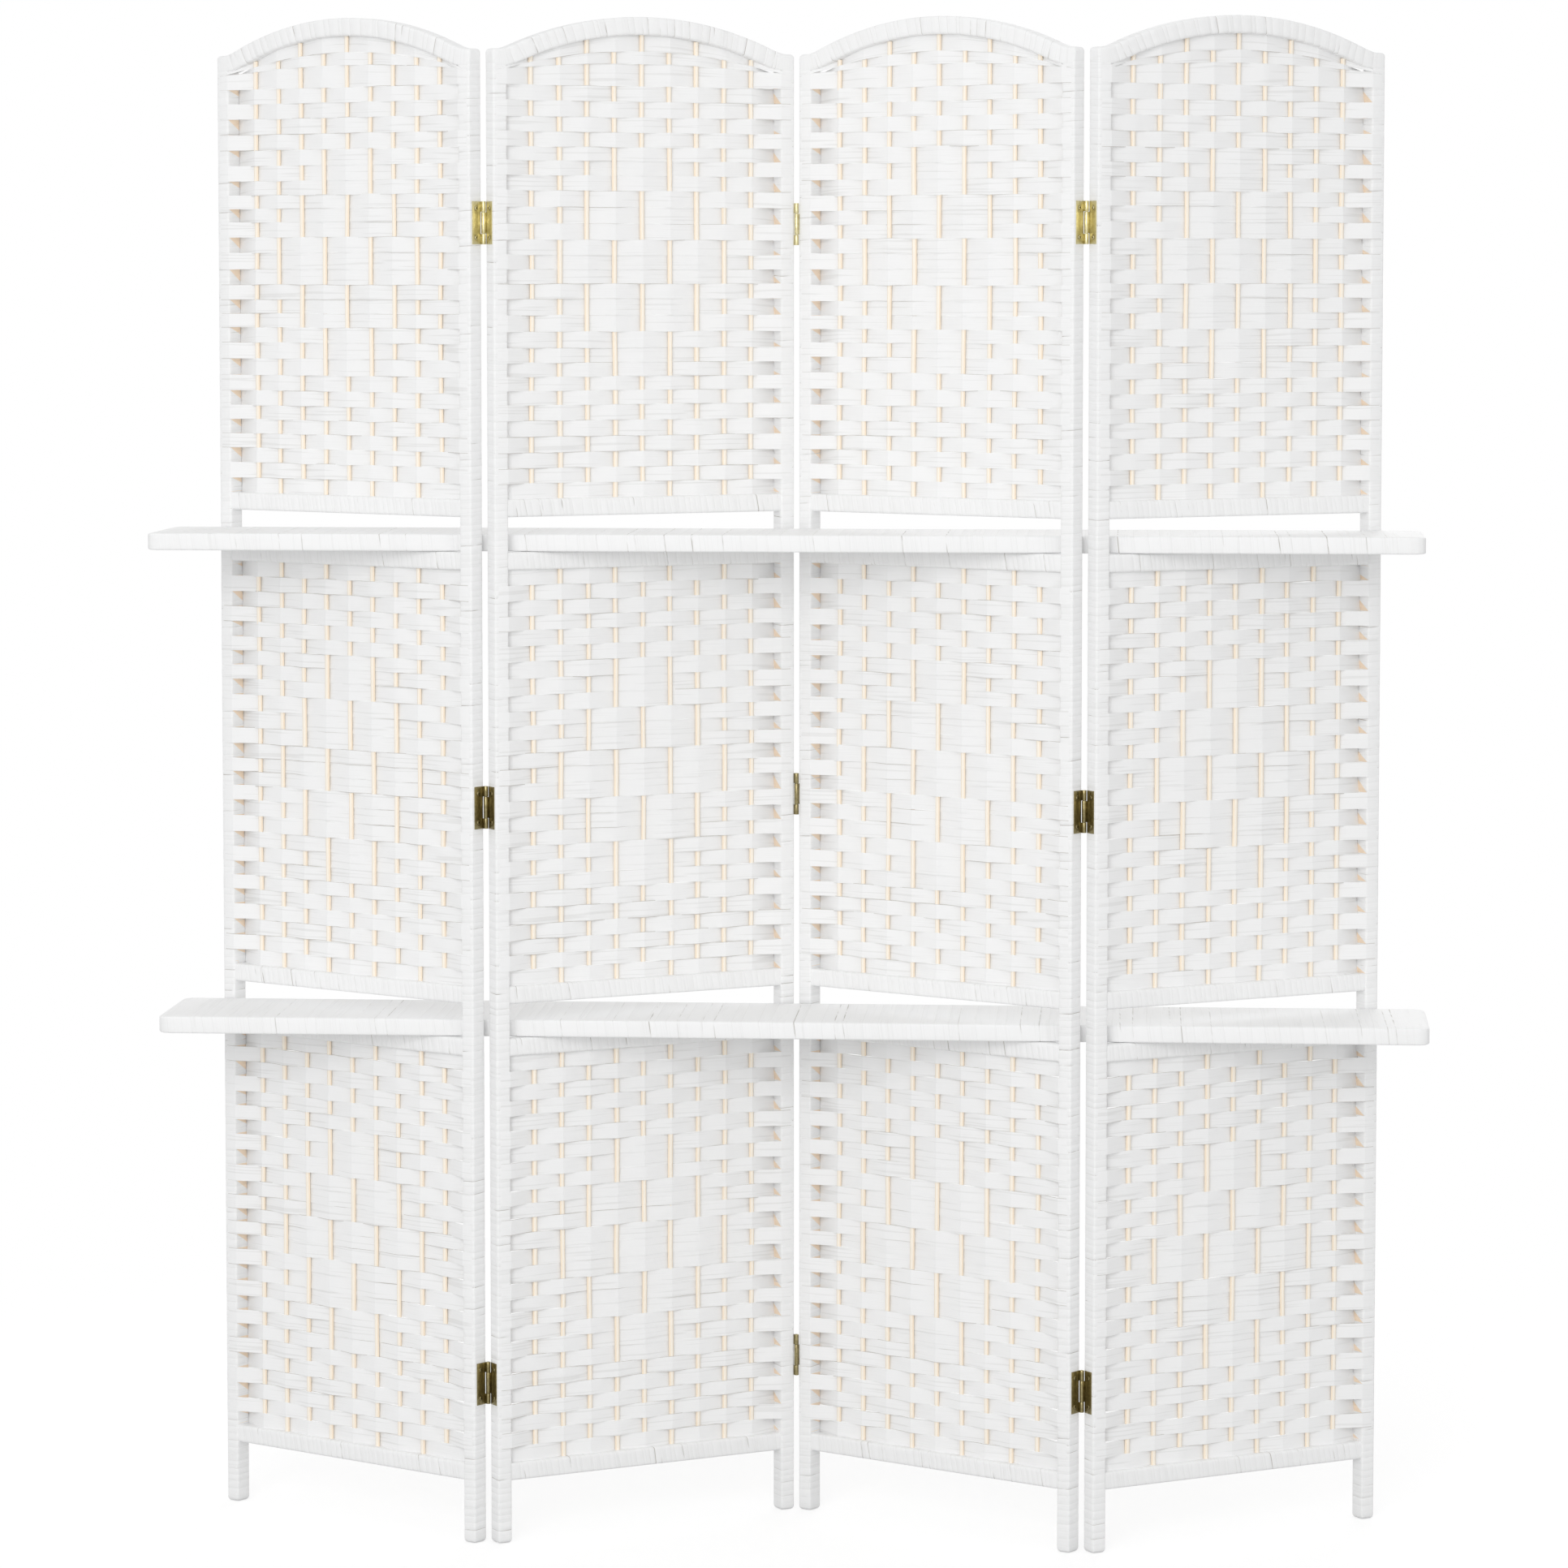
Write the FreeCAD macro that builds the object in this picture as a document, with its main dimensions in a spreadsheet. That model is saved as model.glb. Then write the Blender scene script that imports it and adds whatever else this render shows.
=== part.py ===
import FreeCAD, Part
import Sketcher
import math
import os

# Folding room divider: four arched panels of paper strip woven on upright rods, joined by butt
# hinges, with two long shelves threaded through slots in all four panels.
# Millimetres. The floor is z = 0, +X runs to the right along the shelves and the front is -Y.
# Panels 1 and 3 are turned clockwise and panels 2 and 4 counter-clockwise, seen from above.

doc = FreeCAD.newDocument("folding_room_divider")
Vector = FreeCAD.Vector
up = Vector(0, 0, 1)

driving_sizes = {
    "panel_width": 400,
    "panel_height": 1800,
    "stile_width": 17,
    "stile_depth": 20,
    "stile_bevel": 3,
    "foot_bevel": 2.5,
    "arch_rise": 40,
    "rail_height": 21,
    "rail_depth": 18,
    "leg_clear": 74,
    "lower_slot_floor": 601,
    "upper_slot_floor": 1174,
    "slot_height": 41,
    "tenon_length": 9,
    "tenon_thickness": 8,
    "tenon_height": 12,
    "rod_count": 9,
    "rod_width": 5,
    "rod_depth": 4,
    "strip_pitch": 17,
    "strip_gap": 0.4,
    "strip_thickness": 0.8,
    "shelf_length": 1500,
    "shelf_depth": 180,
    "shelf_side_gap": 2.66,
    "shelf_shift": 4.5,
    "shelf_rail_width": 18,
    "shelf_rail_height": 16,
    "shelf_batten_width": 18,
    "shelf_batten_count": 5,
    "deck_thickness": 4,
    "deck_corner": 6,
    "shelf_seat_gap": 0.3,
    "hinge_low": 190,
    "hinge_drop": 202,
    "leaf_height": 50,
    "leaf_width": 18,
    "leaf_thickness": 1,
    "knuckle_radius": 2.8,
    "middle_knuckle": 25,
    "knuckle_gap": 0.3,
    "notch_clearance": 0.4,
    "pin_standoff": 1.5,
    "pin_radius": 1.2,
    "pin_clearance": 0.05,
    "screw_spacing": 34,
    "screw_hole_radius": 1.7,
    "screw_shank_radius": 1.5,
    "screw_length": 12,
    "screw_head_radius": 2.9,
    "screw_head_height": 1.3,
}

sheet = doc.addObject("Spreadsheet::Sheet", "Sizes")
for row, (name, value) in enumerate(driving_sizes.items(), 1):
    sheet.set("A%d" % row, name)
    sheet.set("B%d" % row, str(value))
    sheet.setAlias("B%d" % row, name)
doc.recompute()


def size(name):
    return float(sheet.get(name))


# Distances that several pieces share, as formulas on the sheet's cells.
opening = "(Sizes.panel_width - 2 * Sizes.stile_width)"
stile_height = "(Sizes.panel_height - Sizes.arch_rise)"
arch_radius = "((%s ^ 2 / 4 + Sizes.arch_rise ^ 2) / (2 * Sizes.arch_rise))" % opening
inner_radius = "%s - Sizes.rail_height" % arch_radius
rod_pitch = "(%s / (Sizes.rod_count + 1))" % opening
hinge_spread = "(%s - Sizes.hinge_drop - Sizes.hinge_low)" % stile_height
hinge_count = 3
leaf_foot = "(Sizes.hinge_low - Sizes.leaf_height / 2)"
pin_depth = "(Sizes.stile_depth / 2 + Sizes.pin_standoff)"
end_knuckle = "((Sizes.leaf_height - Sizes.middle_knuckle) / 2)"

# Height of each straight rail's middle line.
rail_levels = {
    "bottom_rail": "Sizes.leg_clear + Sizes.rail_height / 2",
    "lower_slot_sill": "Sizes.lower_slot_floor - Sizes.rail_height / 2",
    "lower_slot_head": "Sizes.lower_slot_floor + Sizes.slot_height + Sizes.rail_height / 2",
    "upper_slot_sill": "Sizes.upper_slot_floor - Sizes.rail_height / 2",
    "upper_slot_head": "Sizes.upper_slot_floor + Sizes.slot_height + Sizes.rail_height / 2",
}
arch_tenon_level = "%s - Sizes.rail_height / 2" % stile_height

# Lowest and highest line of each woven section, between the rails that bound it.
sections = {
    "bottom": ("Sizes.leg_clear + Sizes.rail_height", "Sizes.lower_slot_floor - Sizes.rail_height"),
    "middle": (
        "Sizes.lower_slot_floor + Sizes.slot_height + Sizes.rail_height",
        "Sizes.upper_slot_floor - Sizes.rail_height",
    ),
    "top": (
        "Sizes.upper_slot_floor + Sizes.slot_height + Sizes.rail_height",
        "Sizes.panel_height - Sizes.rail_height",
    ),
}


def new_body(label):
    body = doc.addObject("PartDesign::Body", label)
    body.Label = label
    return body


def origin_item(body, role):
    return next(item for item in body.Origin.OriginFeatures if item.Role == role)


def new_sketch(body, plane, along_x=None, along_y=None, along_normal=None):
    sketch = body.newObject("Sketcher::SketchObject", "profile")
    sketch.AttachmentSupport = [(origin_item(body, plane), "")]
    sketch.MapMode = "FlatFace"
    for axis, distance in (("x", along_x), ("y", along_y), ("z", along_normal)):
        if distance:
            sketch.setExpression("AttachmentOffset.Base.%s" % axis, distance)
    return sketch


def tie(sketch, constraint, formula):
    # A dimension of a sketch follows a formula on the sheet.
    index = sketch.addConstraint(constraint)
    sketch.setExpression("Constraints[%d]" % index, formula)


def tie_radius(sketch, item, formula):
    drawn = sketch.Geometry[item].Radius
    tie(sketch, Sketcher.Constraint("Radius", item, drawn), formula)


def tie_across(sketch, item, point, formula):
    drawn = sketch.getPoint(item, point).x
    tie(sketch, Sketcher.Constraint("DistanceX", -1, 1, item, point, drawn), formula)


def tie_along(sketch, item, point, formula):
    drawn = sketch.getPoint(item, point).y
    tie(sketch, Sketcher.Constraint("DistanceY", -1, 1, item, point, drawn), formula)


def rectangle(sketch, left, right, low, high):
    first = len(sketch.Geometry)
    corners = [Vector(-1, -1, 0), Vector(1, -1, 0), Vector(1, 1, 0), Vector(-1, 1, 0)]
    for side in range(4):
        sketch.addGeometry(Part.LineSegment(corners[side], corners[(side + 1) % 4]), False)
    for side in range(4):
        following = first + (side + 1) % 4
        sketch.addConstraint(Sketcher.Constraint("Coincident", first + side, 2, following, 1))
        direction = "Horizontal" if side % 2 == 0 else "Vertical"
        sketch.addConstraint(Sketcher.Constraint(direction, first + side))
    tie_across(sketch, first, 1, left)
    tie_across(sketch, first + 2, 1, right)
    tie_along(sketch, first, 1, low)
    tie_along(sketch, first + 2, 1, high)


def circle(sketch, radius):
    ring = sketch.addGeometry(Part.Circle(Vector(0, 0, 0), up, 1.0), False)
    sketch.addConstraint(Sketcher.Constraint("Coincident", ring, 3, -1, 1))
    tie_radius(sketch, ring, radius)


def polygon(sketch, sides, radius):
    # A regular polygon with its corners on a circle about the origin.
    first = len(sketch.Geometry)
    corners = []
    for corner in range(sides):
        angle = 2 * math.pi * corner / sides
        corners.append(Vector(math.cos(angle), math.sin(angle), 0))
    for side in range(sides):
        sketch.addGeometry(Part.LineSegment(corners[side], corners[(side + 1) % sides]), False)
    ring = sketch.addGeometry(Part.Circle(Vector(0, 0, 0), up, 1.0), True)
    for side in range(sides):
        following = first + (side + 1) % sides
        sketch.addConstraint(Sketcher.Constraint("Coincident", first + side, 2, following, 1))
        sketch.addConstraint(Sketcher.Constraint("PointOnObject", first + side, 1, ring))
        if side:
            sketch.addConstraint(Sketcher.Constraint("Equal", first, first + side))
    sketch.addConstraint(Sketcher.Constraint("Coincident", ring, 3, -1, 1))
    sketch.addConstraint(Sketcher.Constraint("PointOnObject", first, 1, -1))
    tie_radius(sketch, ring, radius)


def pad(body, sketch, length, both_ways=False, turned=False):
    feature = body.newObject("PartDesign::Pad", "pad")
    feature.Profile = sketch
    feature.Midplane = both_ways
    feature.Reversed = turned
    feature.setExpression("Length", length)
    return feature


def pocket(body, sketch, length, both_ways=False, turned=False):
    feature = body.newObject("PartDesign::Pocket", "pocket")
    feature.Profile = sketch
    feature.Midplane = both_ways
    feature.Reversed = turned
    feature.setExpression("Length", length)
    doc.recompute()
    removed = feature.BaseFeature.Shape.Volume - feature.Shape.Volume
    if removed <= 0:
        raise ValueError("pocket of %s cuts nothing" % body.Label)
    return feature


def bevel(body, base, width, chosen):
    doc.recompute()
    names = ["Edge%d" % number for number, edge in enumerate(base.Shape.Edges, 1) if chosen(edge)]
    feature = body.newObject("PartDesign::Chamfer", "bevel")
    feature.Base = (base, names)
    feature.setExpression("Size", width)
    return feature


def row_of(body, axis, length, count, originals=None):
    # Copies in a line: of the named features, or of the whole body so far.
    feature = body.newObject("PartDesign::LinearPattern", "row")
    if originals:
        feature.Originals = originals
    else:
        feature.TransformMode = "Whole shape"
    feature.Direction = (origin_item(body, axis), [""])
    feature.setExpression("Length", length)
    feature.setExpression("Occurrences", count)
    body.Tip = feature
    return feature


def upright(edge):
    return abs(edge.Curve.Direction.dot(up)) > 0.999


def at_height(level):
    def chosen(edge):
        box = edge.BoundBox
        return abs(box.ZMin - level) < 1e-6 and abs(box.ZMax - level) < 1e-6
    return chosen


# A stile stands on the floor with its inner edge on the local plane x = 0. Its mortises take
# the tenons of the five straight rails and of the arch.
def stile(label):
    body = new_body(label)
    section = new_sketch(body, "XY_Plane")
    rectangle(section, "-Sizes.stile_width", "0", "-Sizes.stile_depth / 2", "Sizes.stile_depth / 2")
    post = pad(body, section, stile_height)
    eased = bevel(body, post, "Sizes.stile_bevel", upright)
    bevel(body, eased, "Sizes.foot_bevel", at_height(0))
    mortises = new_sketch(body, "YZ_Plane")
    for level in list(rail_levels.values()) + [arch_tenon_level]:
        rectangle(
            mortises,
            "-Sizes.tenon_thickness / 2",
            "Sizes.tenon_thickness / 2",
            "%s - Sizes.tenon_height / 2" % level,
            "%s + Sizes.tenon_height / 2" % level,
        )
    pocket(body, mortises, "Sizes.tenon_length")
    return body


# A straight rail lies along X about its middle, with a tenon at each end.
def straight_rail(label):
    body = new_body(label)
    section = new_sketch(body, "YZ_Plane")
    rectangle(
        section,
        "-Sizes.rail_depth / 2",
        "Sizes.rail_depth / 2",
        "-Sizes.rail_height / 2",
        "Sizes.rail_height / 2",
    )
    pad(body, section, opening, both_ways=True)
    tenon = new_sketch(body, "YZ_Plane")
    rectangle(
        tenon,
        "-Sizes.tenon_thickness / 2",
        "Sizes.tenon_thickness / 2",
        "-Sizes.tenon_height / 2",
        "Sizes.tenon_height / 2",
    )
    pad(body, tenon, "%s + 2 * Sizes.tenon_length" % opening, both_ways=True)
    return body


def arch_numbers():
    half = size("panel_width") / 2 - size("stile_width")
    rise = size("arch_rise")
    outer = (half ** 2 + rise ** 2) / (2 * rise)
    return half, outer, size("panel_height") - outer


def arc_over(sketch, radius, centre, half, formula):
    # An arc that is symmetrical about the panel's middle line, from right to left.
    swing = math.asin(half / radius)
    round_line = Part.Circle(Vector(0, centre, 0), Vector(0, 0, 1), radius)
    quarter = math.pi / 2
    index = sketch.addGeometry(Part.ArcOfCircle(round_line, quarter - swing, quarter + swing), False)
    sketch.addConstraint(Sketcher.Constraint("PointOnObject", index, 3, -2))
    tie_radius(sketch, index, formula)
    tie_along(sketch, index, 3, "Sizes.panel_height - %s" % arch_radius)
    tie_across(sketch, index, 1, "%s / 2" % opening)
    tie_across(sketch, index, 2, "-%s / 2" % opening)
    return index


def join(sketch, first, first_end, second, second_end):
    points = [sketch.getPoint(first, first_end), sketch.getPoint(second, second_end)]
    line = sketch.addGeometry(Part.LineSegment(*points), False)
    sketch.addConstraint(Sketcher.Constraint("Coincident", line, 1, first, first_end))
    sketch.addConstraint(Sketcher.Constraint("Coincident", line, 2, second, second_end))
    return line


# The arch spans the stiles as a band of even height, with a tenon at each end.
def arch_rail(label):
    body = new_body(label)
    outline = new_sketch(body, "XZ_Plane")
    half, outer, centre = arch_numbers()
    top = arc_over(outline, outer, centre, half, arch_radius)
    under = arc_over(outline, outer - size("rail_height"), centre, half, inner_radius)
    join(outline, top, 1, under, 1)
    join(outline, top, 2, under, 2)
    pad(body, outline, "Sizes.rail_depth", both_ways=True)
    tenons = new_sketch(body, "XZ_Plane")
    root = "(%s / 2 - Sizes.tenon_length)" % opening
    tip = "(%s / 2 + Sizes.tenon_length)" % opening
    for left, right in ((root, tip), ("-" + tip, "-" + root)):
        rectangle(
            tenons,
            left,
            right,
            "%s - Sizes.tenon_height / 2" % arch_tenon_level,
            "%s + Sizes.tenon_height / 2" % arch_tenon_level,
        )
    pad(body, tenons, "Sizes.tenon_thickness", both_ways=True)
    return body


# Everything above the underside of the arch is cut away from the top section's weave.
def trim_to_arch(body):
    waste = new_sketch(body, "XZ_Plane")
    half, outer, centre = arch_numbers()
    under = arc_over(waste, outer - size("rail_height"), centre, half, inner_radius)
    above = waste.addGeometry(
        Part.LineSegment(Vector(half, size("panel_height"), 0), Vector(-half, size("panel_height"), 0)), False
    )
    waste.addConstraint(Sketcher.Constraint("Horizontal", above))
    tie_along(waste, above, 1, "Sizes.panel_height")
    right = join(waste, under, 1, above, 1)
    left = join(waste, under, 2, above, 2)
    waste.addConstraint(Sketcher.Constraint("Vertical", right))
    waste.addConstraint(Sketcher.Constraint("Vertical", left))
    body.Tip = pocket(body, waste, "Sizes.stile_depth", both_ways=True)


# Upright rods at even steps across each section, from rail to rail.
def warp_rods(label):
    body = new_body(label)
    for section in ("top", "middle", "bottom"):
        low, high = sections[section]
        foot = new_sketch(body, "XY_Plane", along_normal=low)
        rectangle(
            foot,
            "-%s / 2 + %s - Sizes.rod_width / 2" % (opening, rod_pitch),
            "-%s / 2 + %s + Sizes.rod_width / 2" % (opening, rod_pitch),
            "-Sizes.rod_depth / 2",
            "Sizes.rod_depth / 2",
        )
        rod = pad(body, foot, "(%s) - (%s)" % (high, low))
        doc.recompute()
        row_of(body, "X_Axis", "%s * (Sizes.rod_count - 1)" % rod_pitch, "Sizes.rod_count", [rod])
        doc.recompute()
        if section == "top":
            trim_to_arch(body)
    return body


# Level strips in rows, laid in turn on the front and on the back of the rods.
def weft_strips(label):
    body = new_body(label)
    for section in ("top", "middle", "bottom"):
        low, high = sections[section]
        height = "((%s) - (%s))" % (high, low)
        rows = "round(%s / Sizes.strip_pitch)" % height
        pitch = "(%s / %s)" % (height, rows)
        for side, lift in ((-1, "0"), (1, pitch)):
            near = "%d * Sizes.rod_depth / 2" % side
            far = "%d * (Sizes.rod_depth / 2 + Sizes.strip_thickness)" % side
            edge = new_sketch(body, "XY_Plane", along_normal="%s + %s + Sizes.strip_gap / 2" % (low, lift))
            front, back = (far, near) if side < 0 else (near, far)
            rectangle(edge, "-%s / 2" % opening, "%s / 2" % opening, front, back)
            strip = pad(body, edge, "%s - Sizes.strip_gap" % pitch)
            doc.recompute()
            count = "ceil(%s / 2)" % rows if side < 0 else "floor(%s / 2)" % rows
            row_of(body, "Z_Axis", "2 * %s * (%s - 1)" % (pitch, count), count, [strip])
            doc.recompute()
        if section == "top":
            trim_to_arch(body)
    return body


barrel_sides = 8
screw_sides = 6


# A hinge leaf lies on a stile's outer edge. Its pin is the local Z axis and the plate reaches
# towards -Y. The plate is on the -X side for hand 1 and on the +X side for hand -1.
# A leaf has either the middle knuckle or the two end ones, and is notched for the others.
def hinge_leaves(label, hand, has_middle):
    body = new_body(label)
    plate = new_sketch(body, "XY_Plane", along_normal=leaf_foot)
    outside = "%d * Sizes.knuckle_radius" % -hand
    inside = "%d * (Sizes.knuckle_radius - Sizes.leaf_thickness)" % -hand
    left, right = (outside, inside) if hand > 0 else (inside, outside)
    rectangle(plate, left, right, "-Sizes.leaf_width", "0")
    pad(body, plate, "Sizes.leaf_height")
    knuckle = new_sketch(body, "XY_Plane", along_normal=leaf_foot)
    polygon(knuckle, barrel_sides, "Sizes.knuckle_radius")
    pad(body, knuckle, "Sizes.leaf_height")
    reach = "(Sizes.knuckle_radius + Sizes.notch_clearance)"
    middle_foot = "(%s + %s)" % (leaf_foot, end_knuckle)
    middle_head = "(%s + Sizes.middle_knuckle)" % middle_foot
    spare = "Sizes.knuckle_gap / 2"
    if has_middle:
        notches = (
            (leaf_foot, "%s + %s" % (end_knuckle, spare)),
            ("%s - %s" % (middle_head, spare), "%s + %s" % (end_knuckle, spare)),
        )
    else:
        notches = (("%s - %s" % (middle_foot, spare), "Sizes.middle_knuckle + Sizes.knuckle_gap"),)
    for foot, height in notches:
        notch = new_sketch(body, "XY_Plane", along_normal=foot)
        rectangle(notch, "-" + reach, reach, "-" + reach, reach)
        pocket(body, notch, height, turned=True)
    bore = new_sketch(body, "XY_Plane", along_normal=leaf_foot)
    # The flats of the bore touch the pin in the leaf that holds it, and clear it in the one that turns.
    flats = "(Sizes.pin_radius + Sizes.pin_clearance)" if has_middle else "Sizes.pin_radius"
    polygon(bore, barrel_sides, "%s / cos(180 deg / %d)" % (flats, barrel_sides))
    pocket(body, bore, "Sizes.leaf_height", turned=True)
    for side in (-1, 1):
        level = "Sizes.hinge_low + %d * Sizes.screw_spacing / 2" % side
        hole = new_sketch(body, "YZ_Plane", along_x="-%s" % pin_depth, along_y=level)
        polygon(hole, screw_sides, "Sizes.screw_hole_radius")
        pocket(body, hole, "2 * Sizes.knuckle_radius", both_ways=True)
    row_of(body, "Z_Axis", hinge_spread, "%d" % hinge_count)
    return body


def hinge_pins(label):
    body = new_body(label)
    section = new_sketch(body, "XY_Plane", along_normal=leaf_foot)
    circle(section, "Sizes.pin_radius")
    pad(body, section, "Sizes.leaf_height")
    row_of(body, "Z_Axis", hinge_spread, "%d" % hinge_count)
    return body


# Screws through the leaves of one panel, on the middle line of the stiles. They stand on its right
# edge, and a panel with hinges on both edges has a second set, half a turn about the panel's middle.
def hinge_screws(label, both_edges):
    body = new_body(label)
    seat = "Sizes.panel_width / 2 + Sizes.leaf_thickness"
    level = "Sizes.hinge_low - Sizes.screw_spacing / 2"
    shank = new_sketch(body, "YZ_Plane", along_y=level, along_normal=seat)
    polygon(shank, screw_sides, "Sizes.screw_shank_radius")
    pad(body, shank, "Sizes.screw_length", turned=True)
    head = new_sketch(body, "YZ_Plane", along_y=level, along_normal=seat)
    polygon(head, screw_sides, "Sizes.screw_head_radius")
    pad(body, head, "Sizes.screw_head_height")
    doc.recompute()
    row_of(body, "Z_Axis", "Sizes.screw_spacing", "2")
    doc.recompute()
    row_of(body, "Z_Axis", hinge_spread, "%d" % hinge_count)
    if both_edges:
        doc.recompute()
        opposite = body.newObject("PartDesign::PolarPattern", "opposite_edge")
        opposite.TransformMode = "Whole shape"
        opposite.Axis = (origin_item(body, "Z_Axis"), [""])
        opposite.Occurrences = 2
        body.Tip = opposite
    return body


# A shelf is a frame of two long rails and cross battens under a woven deck. z = 0 is its underside.
def shelf_rails(label):
    body = new_body(label)
    section = new_sketch(body, "YZ_Plane")
    rectangle(
        section,
        "-Sizes.shelf_depth / 2",
        "-Sizes.shelf_depth / 2 + Sizes.shelf_rail_width",
        "0",
        "Sizes.shelf_rail_height",
    )
    bar = pad(body, section, "Sizes.shelf_length", both_ways=True)
    doc.recompute()
    row_of(body, "Y_Axis", "Sizes.shelf_depth - Sizes.shelf_rail_width", "2", [bar])
    return body


def shelf_battens(label):
    body = new_body(label)
    plan = new_sketch(body, "XY_Plane")
    rectangle(
        plan,
        "-Sizes.shelf_length / 2",
        "-Sizes.shelf_length / 2 + Sizes.shelf_batten_width",
        "-Sizes.shelf_depth / 2 + Sizes.shelf_rail_width",
        "Sizes.shelf_depth / 2 - Sizes.shelf_rail_width",
    )
    batten = pad(body, plan, "Sizes.shelf_rail_height")
    doc.recompute()
    spread = "Sizes.shelf_length - Sizes.shelf_batten_width"
    row_of(body, "X_Axis", spread, "Sizes.shelf_batten_count", [batten])
    return body


def shelf_deck(label):
    body = new_body(label)
    plan = new_sketch(body, "XY_Plane", along_normal="Sizes.shelf_rail_height")
    rectangle(
        plan,
        "-Sizes.shelf_length / 2",
        "Sizes.shelf_length / 2",
        "-Sizes.shelf_depth / 2",
        "Sizes.shelf_depth / 2",
    )
    sheet_of_weave = pad(body, plan, "Sizes.deck_thickness")
    bevel(body, sheet_of_weave, "Sizes.deck_corner", upright)
    return body


# Each panel stands at the angle to the shelves where the inner corners of its stiles, front and
# back in turn, clear the shelves' long edges by the side gap. The shelves stop it opening flatter.
half_panel = size("panel_width") / 2
inner_edge = half_panel - size("stile_width")
half_stile = size("stile_depth") / 2
half_shelf = size("shelf_depth") / 2 + size("shelf_side_gap")
fold = math.asin(half_shelf / math.hypot(inner_edge, half_stile)) + math.atan2(half_stile, inner_edge)
pin_reach = half_panel + size("knuckle_radius")
pin_offset = half_stile + size("pin_standoff")
panel_step = 2 * (pin_reach * math.cos(fold) + pin_offset * math.sin(fold))
panel_numbers = (1, 2, 3, 4)
pieces = []


def turned_about_z(angle):
    return FreeCAD.Rotation(up, angle)


def panel_place(number):
    middle = (number - 2.5) * panel_step
    angle = math.degrees(fold)
    return FreeCAD.Placement(Vector(middle, 0, 0), turned_about_z(angle if number % 2 == 0 else -angle))


def within_panel(number, x, y, z, angle=0):
    return panel_place(number) * FreeCAD.Placement(Vector(x, y, z), turned_about_z(angle))


def keep(body, place):
    body.Placement = place
    pieces.append(body)


for number in panel_numbers:
    prefix = "panel_%d_" % number
    keep(stile(prefix + "left_stile"), within_panel(number, -inner_edge, 0, 0))
    keep(stile(prefix + "right_stile"), within_panel(number, inner_edge, 0, 0, 180))
    keep(arch_rail(prefix + "arch_rail"), panel_place(number))
    for name, level in rail_levels.items():
        rail = straight_rail(prefix + name)
        keep(rail, panel_place(number))
        rail.setExpression("Placement.Base.z", level)
    keep(warp_rods(prefix + "warp_rods"), panel_place(number))
    keep(weft_strips(prefix + "weft_strips"), panel_place(number))
    # The first and last panels have hinges on one edge, and the fourth panel's is its left one.
    outer_panel = number in (panel_numbers[0], panel_numbers[-1])
    half_turn = 180 if number == panel_numbers[-1] else 0
    screws = hinge_screws(prefix + "hinge_screws", not outer_panel)
    keep(screws, within_panel(number, 0, 0, 0, half_turn))

# At the front joints the pins lie behind the panels, and at the back joint in front of them.
for number in panel_numbers[:-1]:
    prefix = "hinge_%d%d_" % (number, number + 1)
    at_front = number % 2 == 1
    hand = 1 if at_front else -1
    side = pin_offset if at_front else -pin_offset
    half_turn = 0 if at_front else 180
    on_left = within_panel(number, pin_reach, side, 0, half_turn)
    on_right = within_panel(number + 1, -pin_reach, side, 0, half_turn)
    keep(hinge_leaves(prefix + "left_leaves", hand, False), on_left)
    keep(hinge_leaves(prefix + "right_leaves", -hand, True), on_right)
    keep(hinge_pins(prefix + "pins"), on_left)

# The boards lie on the slot sills, pushed a little apart from each other along X.
for name, floor, side in (("upper_shelf", "upper_slot_floor", -1), ("lower_shelf", "lower_slot_floor", 1)):
    seat = Vector(side * size("shelf_shift"), 0, size(floor) + size("shelf_seat_gap"))
    for piece in (shelf_rails(name + "_rails"), shelf_battens(name + "_battens"), shelf_deck(name + "_deck")):
        keep(piece, FreeCAD.Placement(seat, FreeCAD.Rotation()))

doc.recompute()
for item in doc.Objects:
    if "Invalid" in item.State or "Error" in item.State:
        raise ValueError("%s failed to build" % item.Label)
for piece in pieces:
    if piece.Shape.isNull() or not piece.Shape.isValid():
        raise ValueError("%s has no sound shape" % piece.Label)

os.makedirs("parts", exist_ok=True)
for piece in pieces:
    piece.Shape.exportStep("parts/%s.step" % piece.Label)
print("%d pieces, %d solids" % (len(pieces), sum(len(piece.Shape.Solids) for piece in pieces)))
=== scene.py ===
import bmesh
import bpy
import math
from mathutils import Matrix, Vector


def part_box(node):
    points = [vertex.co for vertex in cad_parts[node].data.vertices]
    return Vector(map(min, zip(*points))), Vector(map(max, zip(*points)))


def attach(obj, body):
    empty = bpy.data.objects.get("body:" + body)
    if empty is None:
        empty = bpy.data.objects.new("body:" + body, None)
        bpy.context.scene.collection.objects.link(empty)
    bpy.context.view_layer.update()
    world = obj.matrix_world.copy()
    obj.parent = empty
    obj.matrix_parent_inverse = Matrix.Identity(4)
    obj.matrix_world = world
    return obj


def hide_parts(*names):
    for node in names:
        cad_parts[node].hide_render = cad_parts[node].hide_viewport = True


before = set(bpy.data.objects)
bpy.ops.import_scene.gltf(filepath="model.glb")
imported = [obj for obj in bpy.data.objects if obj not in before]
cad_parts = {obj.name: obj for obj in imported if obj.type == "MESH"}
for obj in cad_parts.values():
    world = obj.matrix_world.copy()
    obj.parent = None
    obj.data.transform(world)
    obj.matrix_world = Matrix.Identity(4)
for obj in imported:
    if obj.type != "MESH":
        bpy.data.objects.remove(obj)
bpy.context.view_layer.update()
print("frame loaded:", len(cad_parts), "nodes")

panelNumbers = (1, 2, 3, 4)

# the screen's plain timber sizes, in metres
timber = {
    "stileWidth": 0.017,
    "stileDepth": 0.020,
    "railDepth": 0.018,
}


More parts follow.
